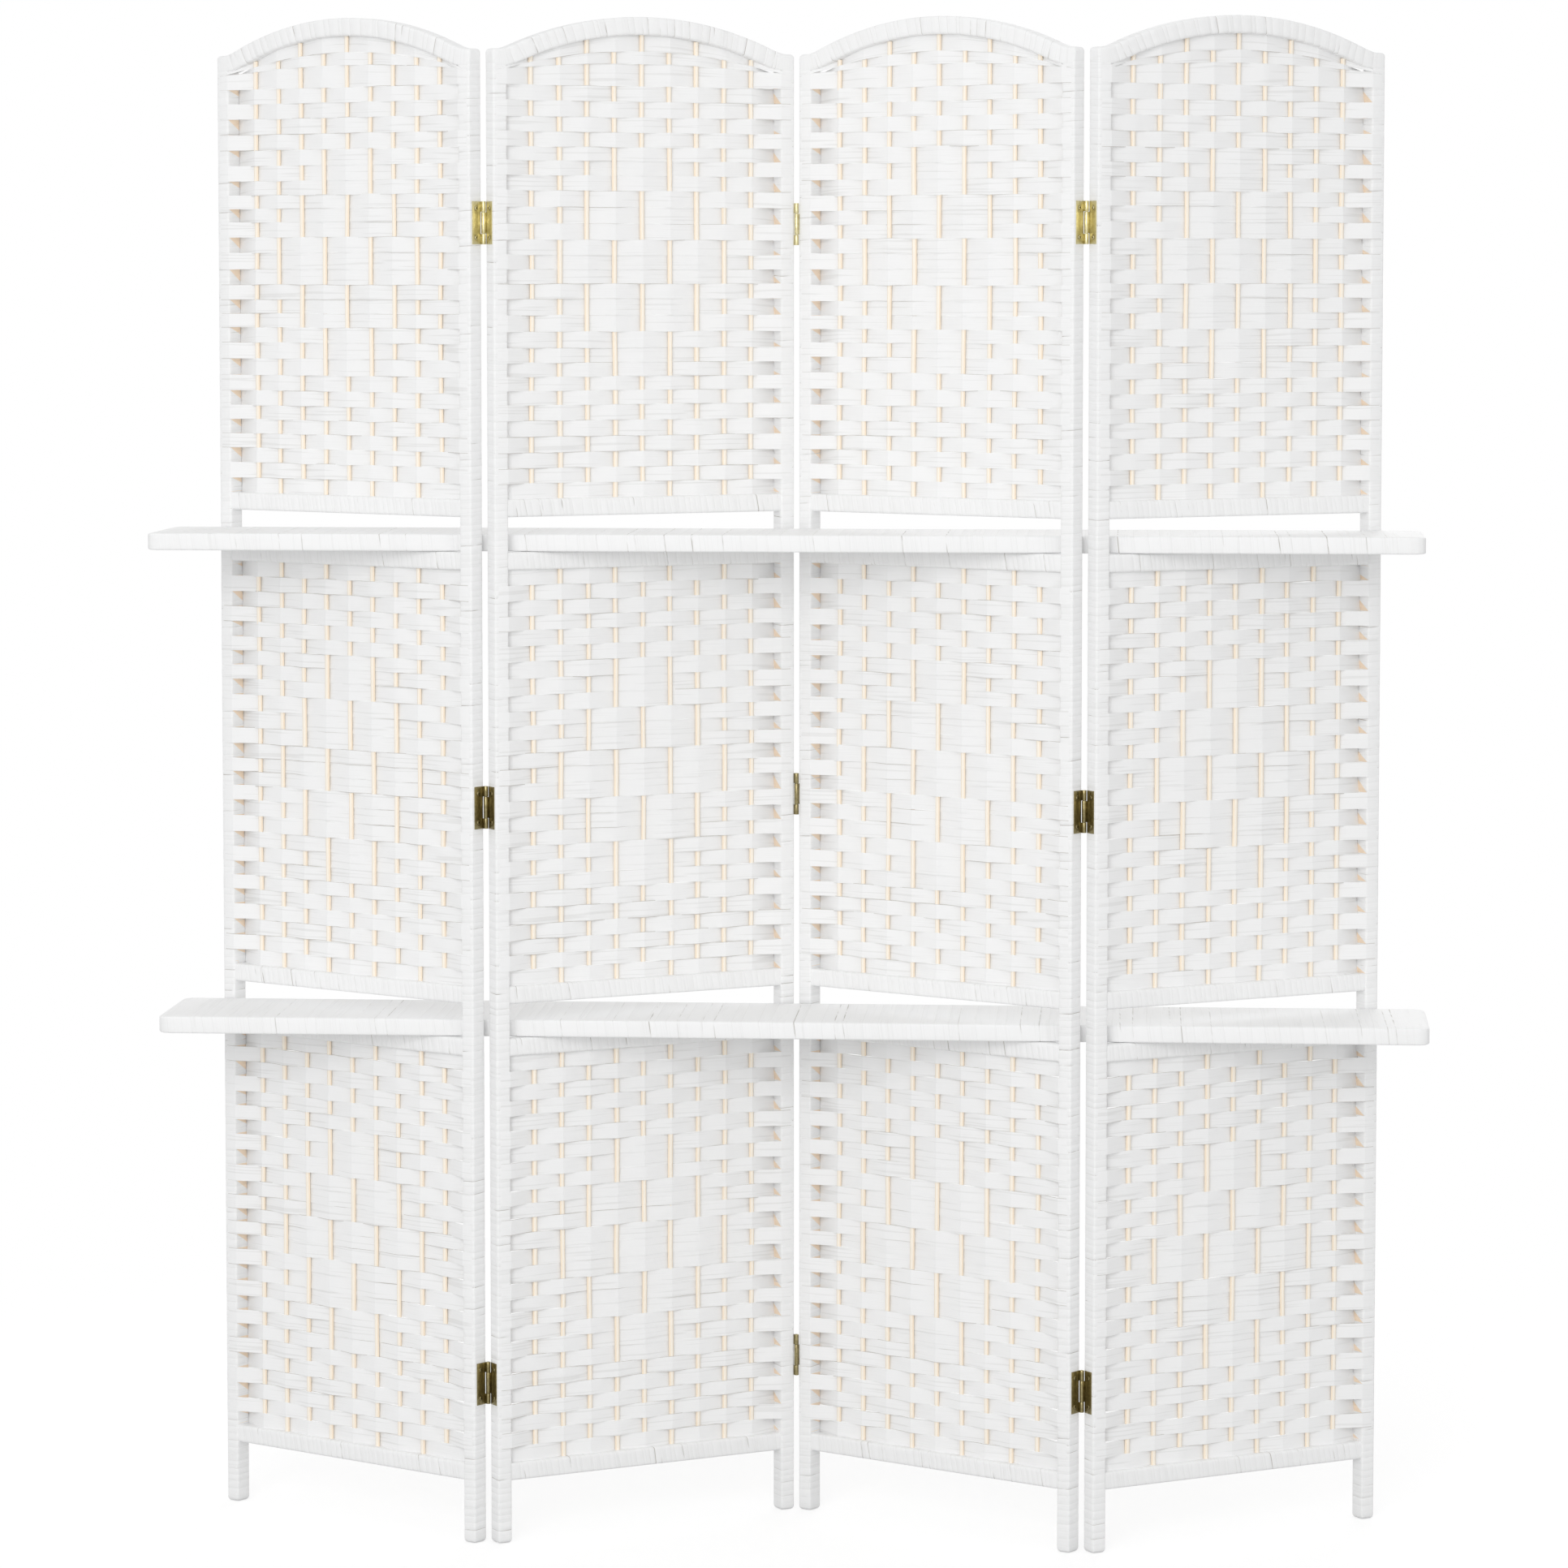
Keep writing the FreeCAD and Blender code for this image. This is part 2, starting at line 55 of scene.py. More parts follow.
# a socket that sums and products can be written with
class Field:
    def __init__(self, tree, socket):
        self.tree = tree
        self.socket = socket

    def calc(self, operation, *others):
        return compute(self.tree, operation, self, *others)

    def __add__(self, other):
        return self.calc("ADD", other)

    def __radd__(self, other):
        return self.calc("ADD", other)

    def __sub__(self, other):
        return self.calc("SUBTRACT", other)

    def __rsub__(self, other):
        return compute(self.tree, "SUBTRACT", other, self)

    def __mul__(self, other):
        return self.calc("MULTIPLY", other)

    def __rmul__(self, other):
        return self.calc("MULTIPLY", other)

    def __truediv__(self, other):
        return self.calc("DIVIDE", other)

    def __mod__(self, other):
        return self.calc("FLOORED_MODULO", other)

    def under(self, other):
        return self.calc("LESS_THAN", other)

    def over(self, other):
        return self.calc("GREATER_THAN", other)

    def floor(self):
        return self.calc("FLOOR")

    def size(self):
        return self.calc("ABSOLUTE")

    def isNear(self, number):
        return (self - number).size().under(0.5)


def connect(tree, value, socket):
    if isinstance(value, Field):
        tree.links.new(value.socket, socket)
    elif isinstance(value, bpy.types.NodeSocket):
        tree.links.new(value, socket)
    else:
        socket.default_value = value


def compute(tree, operation, *values):
    node = tree.nodes.new("ShaderNodeMath")
    node.operation = operation
    for value, socket in zip(values, node.inputs):
        connect(tree, value, socket)
    return Field(tree, node.outputs[0])


def place(tree, kind, feeds, **settings):
    node = tree.nodes.new(kind)
    for name, value in settings.items():
        setattr(node, name, value)
    for name, value in feeds.items():
        connect(tree, value, node.inputs[name])
    return node


# a node's first output
def result(tree, kind, feeds, **settings):
    return place(tree, kind, feeds, **settings).outputs[0]


def mixed(first, second, share):
    return first + (second - first) * share


def eased(share):
    return share * share * (3 - 2 * share)


def clamped(share):
    return share.calc("MAXIMUM", 0.0).calc("MINIMUM", 1.0)


def sine(value):
    return value.calc("SINE") if isinstance(value, Field) else math.sin(value)


def vector(tree, x, y, z):
    return result(tree, "ShaderNodeCombineXYZ", {0: x, 1: y, 2: z})


def parts(tree, value):
    outputs = place(tree, "ShaderNodeSeparateXYZ", {0: value}).outputs
    return [Field(tree, socket) for socket in outputs]


# odd factors on a row's, rod's or turn's number keep its noise unlike its neighbour's
def noise(tree, x, y, z, detail=2.0):
    feeds = {"Vector": vector(tree, x, y, z), "Scale": 1.0, "Detail": detail}
    return Field(tree, result(tree, "ShaderNodeTexNoise", feeds))


def randomValue(tree, low, high, identity, seed):
    node = place(tree, "FunctionNodeRandomValue", {"Seed": seed}, data_type="FLOAT")
    node.inputs[2].default_value = low
    node.inputs[3].default_value = high
    connect(tree, identity, node.inputs["ID"])
    return Field(tree, node.outputs[1])


def newTree(name, inputs):
    tree = bpy.data.node_groups.new(name, "GeometryNodeTree")
    tree.interface.new_socket("Geometry", in_out="OUTPUT", socket_type="NodeSocketGeometry")
    tree.interface.new_socket("Geometry", in_out="INPUT", socket_type="NodeSocketGeometry")
    kinds = {int: "NodeSocketInt", float: "NodeSocketFloat"}
    for label, value in inputs.items():
        socket = tree.interface.new_socket(label, in_out="INPUT", socket_type=kinds[type(value)])
        socket.default_value = value
    tree.interface.new_socket("Material", in_out="INPUT", socket_type="NodeSocketMaterial")
    entry = tree.nodes.new("NodeGroupInput")
    given = {socket.name: Field(tree, socket) for socket in entry.outputs if socket.name}
    return tree, given


def index(tree):
    return Field(tree, result(tree, "GeometryNodeInputIndex", {}))


def position(tree):
    return parts(tree, result(tree, "GeometryNodeInputPosition", {}))


def storeValue(tree, geometry, name, value, kind="FLOAT"):
    feeds = {"Geometry": geometry, "Name": name, "Value": value}
    return result(tree, "GeometryNodeStoreNamedAttribute", feeds, data_type=kind, domain="POINT")


def storedValue(tree, name, kind="FLOAT"):
    return Field(tree, result(tree, "GeometryNodeInputNamedAttribute", {"Name": name}, data_type=kind))


# a copy of a shape at each point, as plain geometry
def copies(tree, points, shape, **more):
    feeds = {"Points": points, "Instance": shape, **more}
    instances = result(tree, "GeometryNodeInstanceOnPoints", feeds)
    return result(tree, "GeometryNodeRealizeInstances", {"Geometry": instances})


# as many copies as asked for, each with its number stored under a name
def numbered(tree, count, shape, name):
    points = result(tree, "GeometryNodeMeshLine", {"Count": count, "Offset": (0, 0, 0)})
    return copies(tree, storeValue(tree, points, name, index(tree)), shape)


def moved(tree, geometry, **feeds):
    return result(tree, "GeometryNodeSetPosition", {"Geometry": geometry, **feeds})


def scaled(tree, direction, length):
    feeds = {0: direction, "Scale": length}
    return result(tree, "ShaderNodeVectorMath", feeds, operation="SCALE")


def closeTree(tree, given, geometry, sharpAngle=0.7):
    angle = Field(tree, place(tree, "GeometryNodeInputMeshEdgeAngle", {}).outputs["Unsigned Angle"])
    feeds = {"Geometry": geometry, "Shade Smooth": True}
    smooth = result(tree, "GeometryNodeSetShadeSmooth", feeds)
    feeds = {"Geometry": smooth, "Selection": angle.over(sharpAngle), "Shade Smooth": False}
    shaded = result(tree, "GeometryNodeSetShadeSmooth", feeds, domain="EDGE")
    whole = result(tree, "GeometryNodeRealizeInstances", {"Geometry": shaded})
    feeds = {"Geometry": whole, "Material": given["Material"]}
    finished = result(tree, "GeometryNodeSetMaterial", feeds)
    outlet = tree.nodes.new("NodeGroupOutput")
    connect(tree, finished, outlet.inputs[0])


# runs a tree on a path, or on nothing, and gives back a plain mesh
def grow(tree, values, path=()):
    source = bpy.data.meshes.new(tree.name)
    edges = [(number, number + 1) for number in range(len(path) - 1)]
    source.from_pydata(path, edges, [])
    holder = bpy.data.objects.new(tree.name, source)
    bpy.context.scene.collection.objects.link(holder)
    modifier = holder.modifiers.new(tree.name, "NODES")
    modifier.node_group = tree
    for item in tree.interface.items_tree:
        if item.in_out == "INPUT" and item.name in values:
            modifier[item.identifier] = values[item.name]
    graph = bpy.context.evaluated_depsgraph_get()
    evaluated = holder.evaluated_get(graph)
    mesh = bpy.data.meshes.new_from_object(evaluated, preserve_all_data_layers=True, depsgraph=graph)
    holder.modifiers.remove(modifier)
    bpy.data.objects.remove(holder)
    bpy.data.meshes.remove(source)
    return mesh


# joins plain meshes into one piece that rides on a body
def piece(name, meshes, body, replaced):
    joined = bmesh.new()
    materials = []
    for mesh in meshes:
        for material in mesh.materials:
            if material not in materials:
                materials.append(material)
    for mesh in meshes:
        first = len(joined.faces)
        joined.from_mesh(mesh)
        joined.faces.ensure_lookup_table()
        for face in joined.faces[first:]:
            face.material_index = materials.index(mesh.materials[face.material_index])
    whole = bpy.data.meshes.new(name)
    joined.to_mesh(whole)
    joined.free()
    for material in materials:
        whole.materials.append(material)
    for mesh in meshes:
        bpy.data.meshes.remove(mesh)
    made = bpy.data.objects.new(name, whole)
    bpy.context.scene.collection.objects.link(made)
    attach(made, body)
    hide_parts(*replaced)
    return made


def boxMiddle(node):
    low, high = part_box(node)
    return (low + high) / 2


# a panel's own frame: x across it, y to its back, z up, with its middle line on the floor
def panelPlace(number):
    left = boxMiddle("panel_%d_left_stile" % number)
    right = boxMiddle("panel_%d_right_stile" % number)
    across = right - left
    middle = (left + right) / 2
    turn = Matrix.Rotation(math.atan2(across.y, across.x), 4, "Z")
    return Matrix.Translation((middle.x, middle.y, 0)) @ turn


def railSpan(number, name):
    low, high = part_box("panel_%d_%s" % (number, name))
    return low.z, high.z


# sizes that all panels share, read from the second one
stileMiddles = (boxMiddle("panel_2_right_stile") - boxMiddle("panel_2_left_stile")).xy.length
halfOpening = (stileMiddles - timber["stileWidth"]) / 2
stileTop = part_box("panel_2_left_stile")[1].z
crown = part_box("panel_2_arch_rail")[1].z
railHeight = railSpan(2, "bottom_rail")[1] - railSpan(2, "bottom_rail")[0]
archRise = crown - stileTop
archRadius = (halfOpening ** 2 + archRise ** 2) / (2 * archRise)
underRadius = archRadius - railHeight
underEnd = crown - archRadius + math.sqrt(underRadius ** 2 - halfOpening ** 2)
sections = {
    "bottom": (railSpan(2, "bottom_rail")[1], railSpan(2, "lower_slot_sill")[0]),
    "middle": (railSpan(2, "lower_slot_head")[1], railSpan(2, "upper_slot_sill")[0]),
    "top": (railSpan(2, "upper_slot_head")[1], underEnd),
}


# shader helpers
def newMaterial(name):
    material = bpy.data.materials.new(name)
    material.use_nodes = True
    tree = material.node_tree
    return material, tree, tree.nodes["Principled BSDF"]


def attribute(tree, name, output="Fac"):
    node = place(tree, "ShaderNodeAttribute", {}, attribute_name=name)
    return Field(tree, node.outputs[output])


def objectSpot(tree):
    return parts(tree, place(tree, "ShaderNodeTexCoord", {}).outputs["Object"])


def dice(tree, number):
    node = place(tree, "ShaderNodeTexWhiteNoise", {"W": number}, noise_dimensions="1D")
    return Field(tree, node.outputs["Value"])


def blendColours(tree, share, first, second):
    node = place(tree, "ShaderNodeMix", {}, data_type="RGBA")
    connect(tree, share, node.inputs[0])
    connect(tree, first, node.inputs[6])
    connect(tree, second, node.inputs[7])
    return node.outputs[2]


def bump(tree, height, look, shader):
    feeds = {"Height": height, "Strength": look["bumpStrength"], "Distance": look["bumpDepth"]}
    connect(tree, result(tree, "ShaderNodeBump", feeds), shader.inputs["Normal"])


# white paper strip, for the weave and for what is wound; scales count spots to the metre, along and across
paperLook = {
    "white": (0.895, 0.897, 0.898, 1),
    "streak": (0.80, 0.80, 0.795, 1),
    "streakScale": (18.0, 1500.0),
    "streakStart": 0.45,
    "streakShare": 0.9,
    "cloudScale": (40.0, 90.0),
    "cloudShare": 0.3,
    "crackScale": (9.0, 420.0),
    "crackStart": 0.66,
    "crackSharpness": 14,
    "roughness": 0.62,
    "gloss": 0.3,
    "bumpStrength": 0.25,
    "bumpDepth": 0.0003,
}
paperInputs = ("Along", "Across", "Strip")
paperOutputs = ("Streaks", "Tone", "Clouds", "Cracks")


# streaks along a strip, a tone of its own, faint clouds and fine cracks
def buildPaperGroup():
    group = bpy.data.node_groups.new("paperStreaks", "ShaderNodeTree")
    for label in paperInputs:
        group.interface.new_socket(label, in_out="INPUT", socket_type="NodeSocketFloat")
    for label in paperOutputs:
        group.interface.new_socket(label, in_out="OUTPUT", socket_type="NodeSocketFloat")
    entry = group.nodes.new("NodeGroupInput")
    along, across, strip = [Field(group, entry.outputs[label]) for label in paperInputs]

    def stretched(scale, apart, detail):
        return noise(group, along * scale[0], across * scale[1], strip * apart, detail)

    streaks = stretched(paperLook["streakScale"], 3.7, 3.0)
    clouds = stretched(paperLook["cloudScale"], 5.3, 2.0)
    cracks = stretched(paperLook["crackScale"], 8.1, 0.0) - paperLook["crackStart"]
    cracks = clamped(cracks * paperLook["crackSharpness"])
    outlet = group.nodes.new("NodeGroupOutput")
    for label, value in zip(paperOutputs, (streaks, dice(group, strip), clouds, cracks)):
        connect(group, value, outlet.inputs[label])
    return group


paperGroup = buildPaperGroup()


# sets the shader's roughness, gloss and bump, and gives back the paper's colour
def paperColour(tree, coordinates, look, shader):
    node = place(tree, "ShaderNodeGroup", {}, node_tree=paperGroup)
    for label, value in zip(paperInputs, parts(tree, coordinates)):
        connect(tree, value, node.inputs[label])
    streaks, tone, clouds, cracks = [Field(tree, node.outputs[label]) for label in paperOutputs]
    share = (streaks - paperLook["streakStart"]) * paperLook["streakShare"]
    share = share + (tone - 0.5) * look["toneShare"] + (clouds - 0.5) * paperLook["cloudShare"]
    share = share + cracks * look["crackShare"]
    shader.inputs["Roughness"].default_value = paperLook["roughness"]
    shader.inputs["Specular IOR Level"].default_value = paperLook["gloss"]
    bump(tree, streaks, paperLook, shader)
    return blendColours(tree, share, paperLook["white"], paperLook["streak"])


stripLook = {
    "toneShare": 0.25,
    "crackShare": 0.8,
    # edge is a painted shade along a strip's two edges, shown over some lengths
    "edge": (0.58, 0.56, 0.53, 1),
    "edgeShadeWidth": 0.0005,
    "edgeShadeScale": 7.0,
    "edgeShadeStart": 0.56,
    "edgeShadeSharpness": 9,
}


# the weave's strips, with painted shade along their edges over some lengths
def stripPaper():
    material, tree, shader = newMaterial("strip paper")
    coordinates = attribute(tree, "weaveCoord", "Vector")
    colour = paperColour(tree, coordinates, stripLook, shader)
    along, across, strip = parts(tree, coordinates)
    shadedLengths = noise(tree, along * stripLook["edgeShadeScale"], strip * 6.1, 0.0, 0.0) - stripLook["edgeShadeStart"]
    shadedLengths = clamped(shadedLengths * stripLook["edgeShadeSharpness"])
    edge = across.size().over(weave["rowPitch"] / 2 - stripLook["edgeShadeWidth"]) * shadedLengths
    connect(tree, blendColours(tree, edge, colour, stripLook["edge"]), shader.inputs["Base Color"])
    return material


rodLook = {
    # pale is a painted highlight down a rod's middle, and deep a painted shade at its sides
    "pale": (0.98, 0.91, 0.80, 1),
    "deep": (0.92, 0.79, 0.63, 1),
    "grainAcross": 900.0,
    "grainAlong": 14.0,
    "grainShare": 1.2,
    "highlightWidth": 0.30,
    "sideShadeShare": 2.2,
    "roughness": 0.5,
    "bumpStrength": 0.3,
    "bumpDepth": 0.0002,
}


# painted highlight down the middle of each face, and painted shade deeper at the sides
def rodWood():
    material, tree, shader = newMaterial("rod wood")
    x, y, z = objectSpot(tree)
    across = rodLook["grainAcross"]
    grain = noise(tree, x * across, y * across, z * rodLook["grainAlong"], 3.0)
    away = attribute(tree, "rodAcross").size() - rodLook["highlightWidth"]
    share = away * rodLook["sideShadeShare"] + (grain - 0.5) * rodLook["grainShare"]
    colour = blendColours(tree, share, rodLook["pale"], rodLook["deep"])
    connect(tree, colour, shader.inputs["Base Color"])
    shader.inputs["Roughness"].default_value = rodLook["roughness"]
    bump(tree, grain, rodLook, shader)
    return material


wrapLook = {
    "toneShare": 0.3,
    "crackShare": 0.3,
    # the colour of the painted shade in the lines and open turns
    "grooveShadeColour": (0.40, 0.37, 0.33, 1),
    "bare": (0.92, 0.75, 0.58, 1),
    "bareLeast": 0.30,
    "bareSpread": 0.55,
}


# the same paper wound round timber: painted shade in the lines and the open turns, and with bare timber in
# corners of the stiles' inner edges, where bareRow counts the weave's rows from 1
def wrapPaper():
    material, tree, shader = newMaterial("wrap paper")
    colour = paperColour(tree, attribute(tree, "wrapCoord", "Vector"), wrapLook, shader)
    colour = blendColours(tree, attribute(tree, "grooveShade"), colour, wrapLook["grooveShadeColour"])
    row = attribute(tree, "bareRow")
    depth = attribute(tree, "bareDepth")
    size = dice(tree, row.floor()) * wrapLook["bareSpread"] + wrapLook["bareLeast"]
    bare = (row % 1).over(1 - size * depth) * row.over(0.9)
    connect(tree, blendColours(tree, bare, colour, wrapLook["bare"]), shader.inputs["Base Color"])
    return material


# the weave: level strips over and under the rods, with a diamond of three-row blocks in each section
weave = {
    "rowPitch": 0.018,
    "unevenRows": 0.2,  # the most that a row's line drifts, in rows
    "quickWave": 0.83,
    "quickShare": 0.6,
    "slowWave": 0.37,
    "pointsAcross": 4,
    "lapSteps": 3,
    "tuck": 0.0012,  # a strip's end is turned in to the stile by this much
    "openDive": 1.15,  # power of a dive behind a stile that is seen from the front
    "hiddenDive": 20.0,  # and of one that the stile hides
    "leftTwist": 0.001,
    "rightTwist": 0.004,
    "heightSpread": 0.06,
    "wanderScale": 14.0,
    "wanderShare": 1.4,
    "frayScale": 45.0,
    "frayShare": 0.5,
    "ripple": 0.0008,
    "rippleScale": 30.0,
    "slackOnStile": 0.2,
    "bowPower": 1.5,
    "diamondStart": {"bottom": 6, "middle": 6, "top": 8},
    "diamondBands": 5,
    "diamondReach": 3,  # rods to each side of the middle one in the widest band
    "bandRows": 3,
    "sharpAngle": 0.24,
}
# inputs of the strips' tree that are the same in every section
stripInputs = {
    "Rods": 9,
    "Steps Per Rod": 6,
    "Half Opening": halfOpening,
    "Lap": timber["stileWidth"],
    "Bowed Rows": 3,
    "Swing": 0.0023,  # how far a strip passes in front of the rods' middle line, or behind it
    "Crease": 0.12,  # 0 runs straight from rod to rod, and 1 eases into each
    "Stile Face": 0.0106,
    "Thickness": 0.0004,
    "Height": 1.03,  # in rows, as Bulge is
    "Bulge": 0.03,
    "Lean": 0.0008,
    "Lodged": 0.003,  # how far the end rows reach into the rails
    "Spread": 0.0035,
    "Crown": 0.0004,
    "Wobble": 0.0014,
}
stripMaterial = stripPaper()
rodMaterial = rodWood()
wrapMaterial = wrapPaper()
print("materials made")


def countRows(foot, head):
    return round((head - foot) / weave["rowPitch"])


def sectionSeed(number, section):
    return number * 10 + list(sections).index(section)


# +1 where a strip passes in front of a rod, and -1 behind it
def strandSide(rod, row, given):
    bands = weave["diamondBands"]
    bandRows = weave["bandRows"]
    step = row - given["Diamond Start"]
    band = (step / bandRows).floor()
    reach = weave["diamondReach"] - (band - bands // 2).size()
    middle = (step % bandRows).isNear(bandRows // 2)
    inside = (rod - (given["Rods"] + 1) / 2).size().under(reach + 0.5)
    within = step.over(-0.5) * step.under(bands * bandRows - 0.5)
    flipped = middle * inside * within
    return 1 - 2 * ((rod + row + flipped + given["Parity"]) % 2)


# how far a line between two rows stands off its even place, in rows, because they were beaten up by hand
def rowDrift(line, rows, seed):
    quick = sine(line * weave["quickWave"] + seed)
    slow = sine(line * weave["slowWave"] + seed * 2.3)
    uneven = quick * weave["quickShare"] + slow * (1 - weave["quickShare"])
    return uneven * sine(line * math.pi / rows) * weave["unevenRows"]


# how much higher the arch stands here than at the stiles
def archLift(x, given):
    square = given["Arch Radius"] * given["Arch Radius"]
    here = (square - x * x).calc("MAXIMUM", 0.0).calc("SQRT")
    there = (square - given["Half Opening"] * given["Half Opening"]).calc("MAXIMUM", 0.0).calc("SQRT")
    return here - there


# the height of the line under a row, which bows with the arch in the uppermost rows
def rowLine(row, lift, given):
    plainRows = given["Plain Rows"]
    bowed = ((row - plainRows + 1) / given["Bowed Rows"]).calc("MAXIMUM", 0.0)
    plain = row.calc("MINIMUM", plainRows)
    level = (plain + rowDrift(plain, plainRows, given["Seed"])) * given["Row Pitch"]
    return given["Foot"] + level + lift * bowed.calc("POWER", weave["bowPower"])


# a sheet pushed forward by its thickness, with the sheet itself, turned over, as its back
def thickened(tree, sheet, thickness):
    feeds = {"Mesh": sheet, "Offset Scale": thickness, "Individual": False}
    front = result(tree, "GeometryNodeExtrudeMesh", feeds, mode="FACES")
    back = result(tree, "GeometryNodeFlipFaces", {"Mesh": sheet})
    joined = tree.nodes.new("GeometryNodeJoinGeometry")
    connect(tree, front, joined.inputs[0])
    connect(tree, back, joined.inputs[0])
    feeds = {"Geometry": joined.outputs[0], "Distance": 0.00001}
    return result(tree, "GeometryNodeMergeByDistance", feeds)


def buildWeaveTree():
    varied = {
        "Rows": 27, "Plain Rows": 27, "Foot": 0.0, "Row Pitch": weave["rowPitch"], "Arch Radius": 0.0,
        "Left Dive": 1.0, "Right Dive": 1.0, "Left Twist": 0.0, "Right Twist": 0.0,
        "Diamond Start": 6, "Parity": 0, "Seed": 1,
    }
    tree, given = newTree("wovenSection", {**stripInputs, **varied})
    seed = given["Seed"]
    half = given["Half Opening"]
    lapSteps = weave["lapSteps"]
    last = given["Rods"] + 1
    inner = last * given["Steps Per Rod"]
    pointsAlong = inner + 2 * lapSteps + 1
    pointsAcross = weave["pointsAcross"]
    feeds = {"Size X": 1.0, "Size Y": 1.0, "Vertices X": pointsAlong, "Vertices Y": pointsAcross}
    strips = numbered(tree, given["Rows"], result(tree, "GeometryNodeMeshGrid", feeds), "row")

    # stations along a strip fall on the rods and gather at the stiles, where the last three at each end lie
    along, across = position(tree)[:2]
    row = storedValue(tree, "row")
    station = (along + 0.5) * (inner + 2 * lapSteps) - lapSteps
    leftLap = (0 - station).calc("MAXIMUM", 0.0) / lapSteps
    rightLap = (station - inner).calc("MAXIMUM", 0.0) / lapSteps
    lap = leftLap + rightLap
    rodStation = station.calc("MAXIMUM", 0.0).calc("MINIMUM", inner) / given["Steps Per Rod"]
    rod = (rodStation + 0.001).floor().calc("MINIMUM", last - 1)
    nextRod = rod + 1
    atLeft = rod.under(0.5)
    atRight = nextRod.over(last - 0.5)
    even = rodStation - rod
    straight = mixed(even, even * even, atLeft)
    straight = mixed(straight, 1 - (1 - even) * (1 - even), atRight)
    x = (rod + straight) / last * 2 * half - half + (rightLap - leftLap) * given["Lap"]
    sideHere = strandSide(rod, row, given)
    sideThere = strandSide(nextRod, row, given)

    # bent over the rods and nearly straight between them, and diving behind a stile by that side's power
    divesLeft = atLeft * sideHere.under(0.0)
    divesRight = atRight * sideThere.under(0.0)
    between = mixed(straight, eased(straight), given["Crease"])
    between = mixed(between, straight.calc("POWER", given["Right Dive"]), divesRight)
    between = mixed(between, 1 - (1 - straight).calc("POWER", given["Left Dive"]), divesLeft)
    here = sideHere * mixed(given["Swing"], given["Stile Face"], atLeft)
    there = sideThere * mixed(given["Swing"], given["Stile Face"], atRight)
    depth = mixed(here, there, between)
    facing = mixed(sideHere, sideThere, between)
    tucked = lap.over(0.9) * weave["tuck"]
    depth = depth - facing * tucked

    # a strip keeps near its row's two lines
    lift = archLift(x, given)
    low = rowLine(row, lift, given) - row.under(0.5) * given["Lodged"]
    high = rowLine(row + 1, lift, given) + row.over(given["Rows"] - 1.5) * given["Lodged"]
    swollen = facing.size() * facing.size() * given["Bulge"]
    tall = given["Height"] - randomValue(tree, 0.0, weave["heightSpread"], row, seed) + swollen
    share = across * tall + 0.5
    wander = noise(tree, x * weave["wanderScale"], row * 3.71 + seed, 0.0) - 0.5
    fray = noise(tree, x * weave["frayScale"], row * 3.71 + across.over(0.0) * 1.9, seed) - 0.5
    wobble = (wander * weave["wanderShare"] + fray * weave["frayShare"]) * given["Wobble"]
    z = mixed(low, high, share) + wobble

    # a diving strip is wider, so that no light shows under it
    inward = divesLeft * (1 - between) + divesRight * between
    z = z - (0.5 - across) * inward * given["Spread"] * row.over(0.5)

    # strips that go behind a stile turn their lower edge forward, and all lean out at the foot and swell,
    # but lie flat on a stile
    turned = divesLeft * (1 - between) * given["Left Twist"] + divesRight * between * given["Right Twist"]
    twist = (across - 0.5) * turned * lap.under(0.1)
    free = (1 - atLeft * (1 - straight)) * (1 - atRight * straight)
    slack = free * (1 - weave["slackOnStile"]) + weave["slackOnStile"]
    swell = (1 - across * across * 4) * given["Crown"]
    ripple = (noise(tree, x * weave["rippleScale"], row * 5.3, seed) - 0.5) * weave["ripple"]
    y = 0 - depth + (ripple - facing * swell + across * given["Lean"]) * slack + twist
    y = y + given["Thickness"] / 2
    coordinates = vector(tree, x, across * given["Row Pitch"], row + seed)
    strips = storeValue(tree, strips, "weaveCoord", coordinates, "FLOAT_VECTOR")
    sheet = moved(tree, strips, Position=vector(tree, x, y, z))
    closeTree(tree, given, thickened(tree, sheet, given["Thickness"]), weave["sharpAngle"])
    return tree


# oval rods at even steps across a section, from rail to rail
rods = {
    "thinnest": 0.92,
    "thickest": 1.06,
    "leanScale": 5.0,
}
rodInputs = {
    "Rods": stripInputs["Rods"], "Half Opening": halfOpening, "Radius": 0.0030, "Flatness": 0.66,
    "Sides": 12, "Rings": 10, "Lean": 0.0028,
}


def buildRodTree():
    varied = {"Foot": 0.0, "Height": 0.5, "Arch Radius": 0.0, "Seed": 1}
    tree, given = newTree("uprightRods", {**rodInputs, **varied})
    half = given["Half Opening"]
    seed = given["Seed"]
    feeds = {"Vertices": given["Sides"], "Side Segments": given["Rings"], "Radius": 1.0, "Depth": 1.0}
    bar = result(tree, "GeometryNodeMeshCylinder", feeds, fill_type="NGON")
    bars = numbered(tree, given["Rods"], bar, "rod")
    across, back, up = position(tree)
    rod = storedValue(tree, "rod")
    middle = (rod + 1) / (given["Rods"] + 1) * 2 * half - half
    height = given["Height"] + archLift(middle, given)
    z = given["Foot"] + (up + 0.5) * height
    lean = (noise(tree, rod * 7.3, z * rods["leanScale"], seed) - 0.5) * 2 * given["Lean"]
    thick = given["Radius"] * randomValue(tree, rods["thinnest"], rods["thickest"], rod, seed)
    bars = storeValue(tree, bars, "rodAcross", across)
    spot = vector(tree, middle + across * thick + lean, back * thick * given["Flatness"], z)
    closeTree(tree, given, moved(tree, bars, Position=spot))
    return tree


weaveTree = buildWeaveTree()
rodTree = buildRodTree()


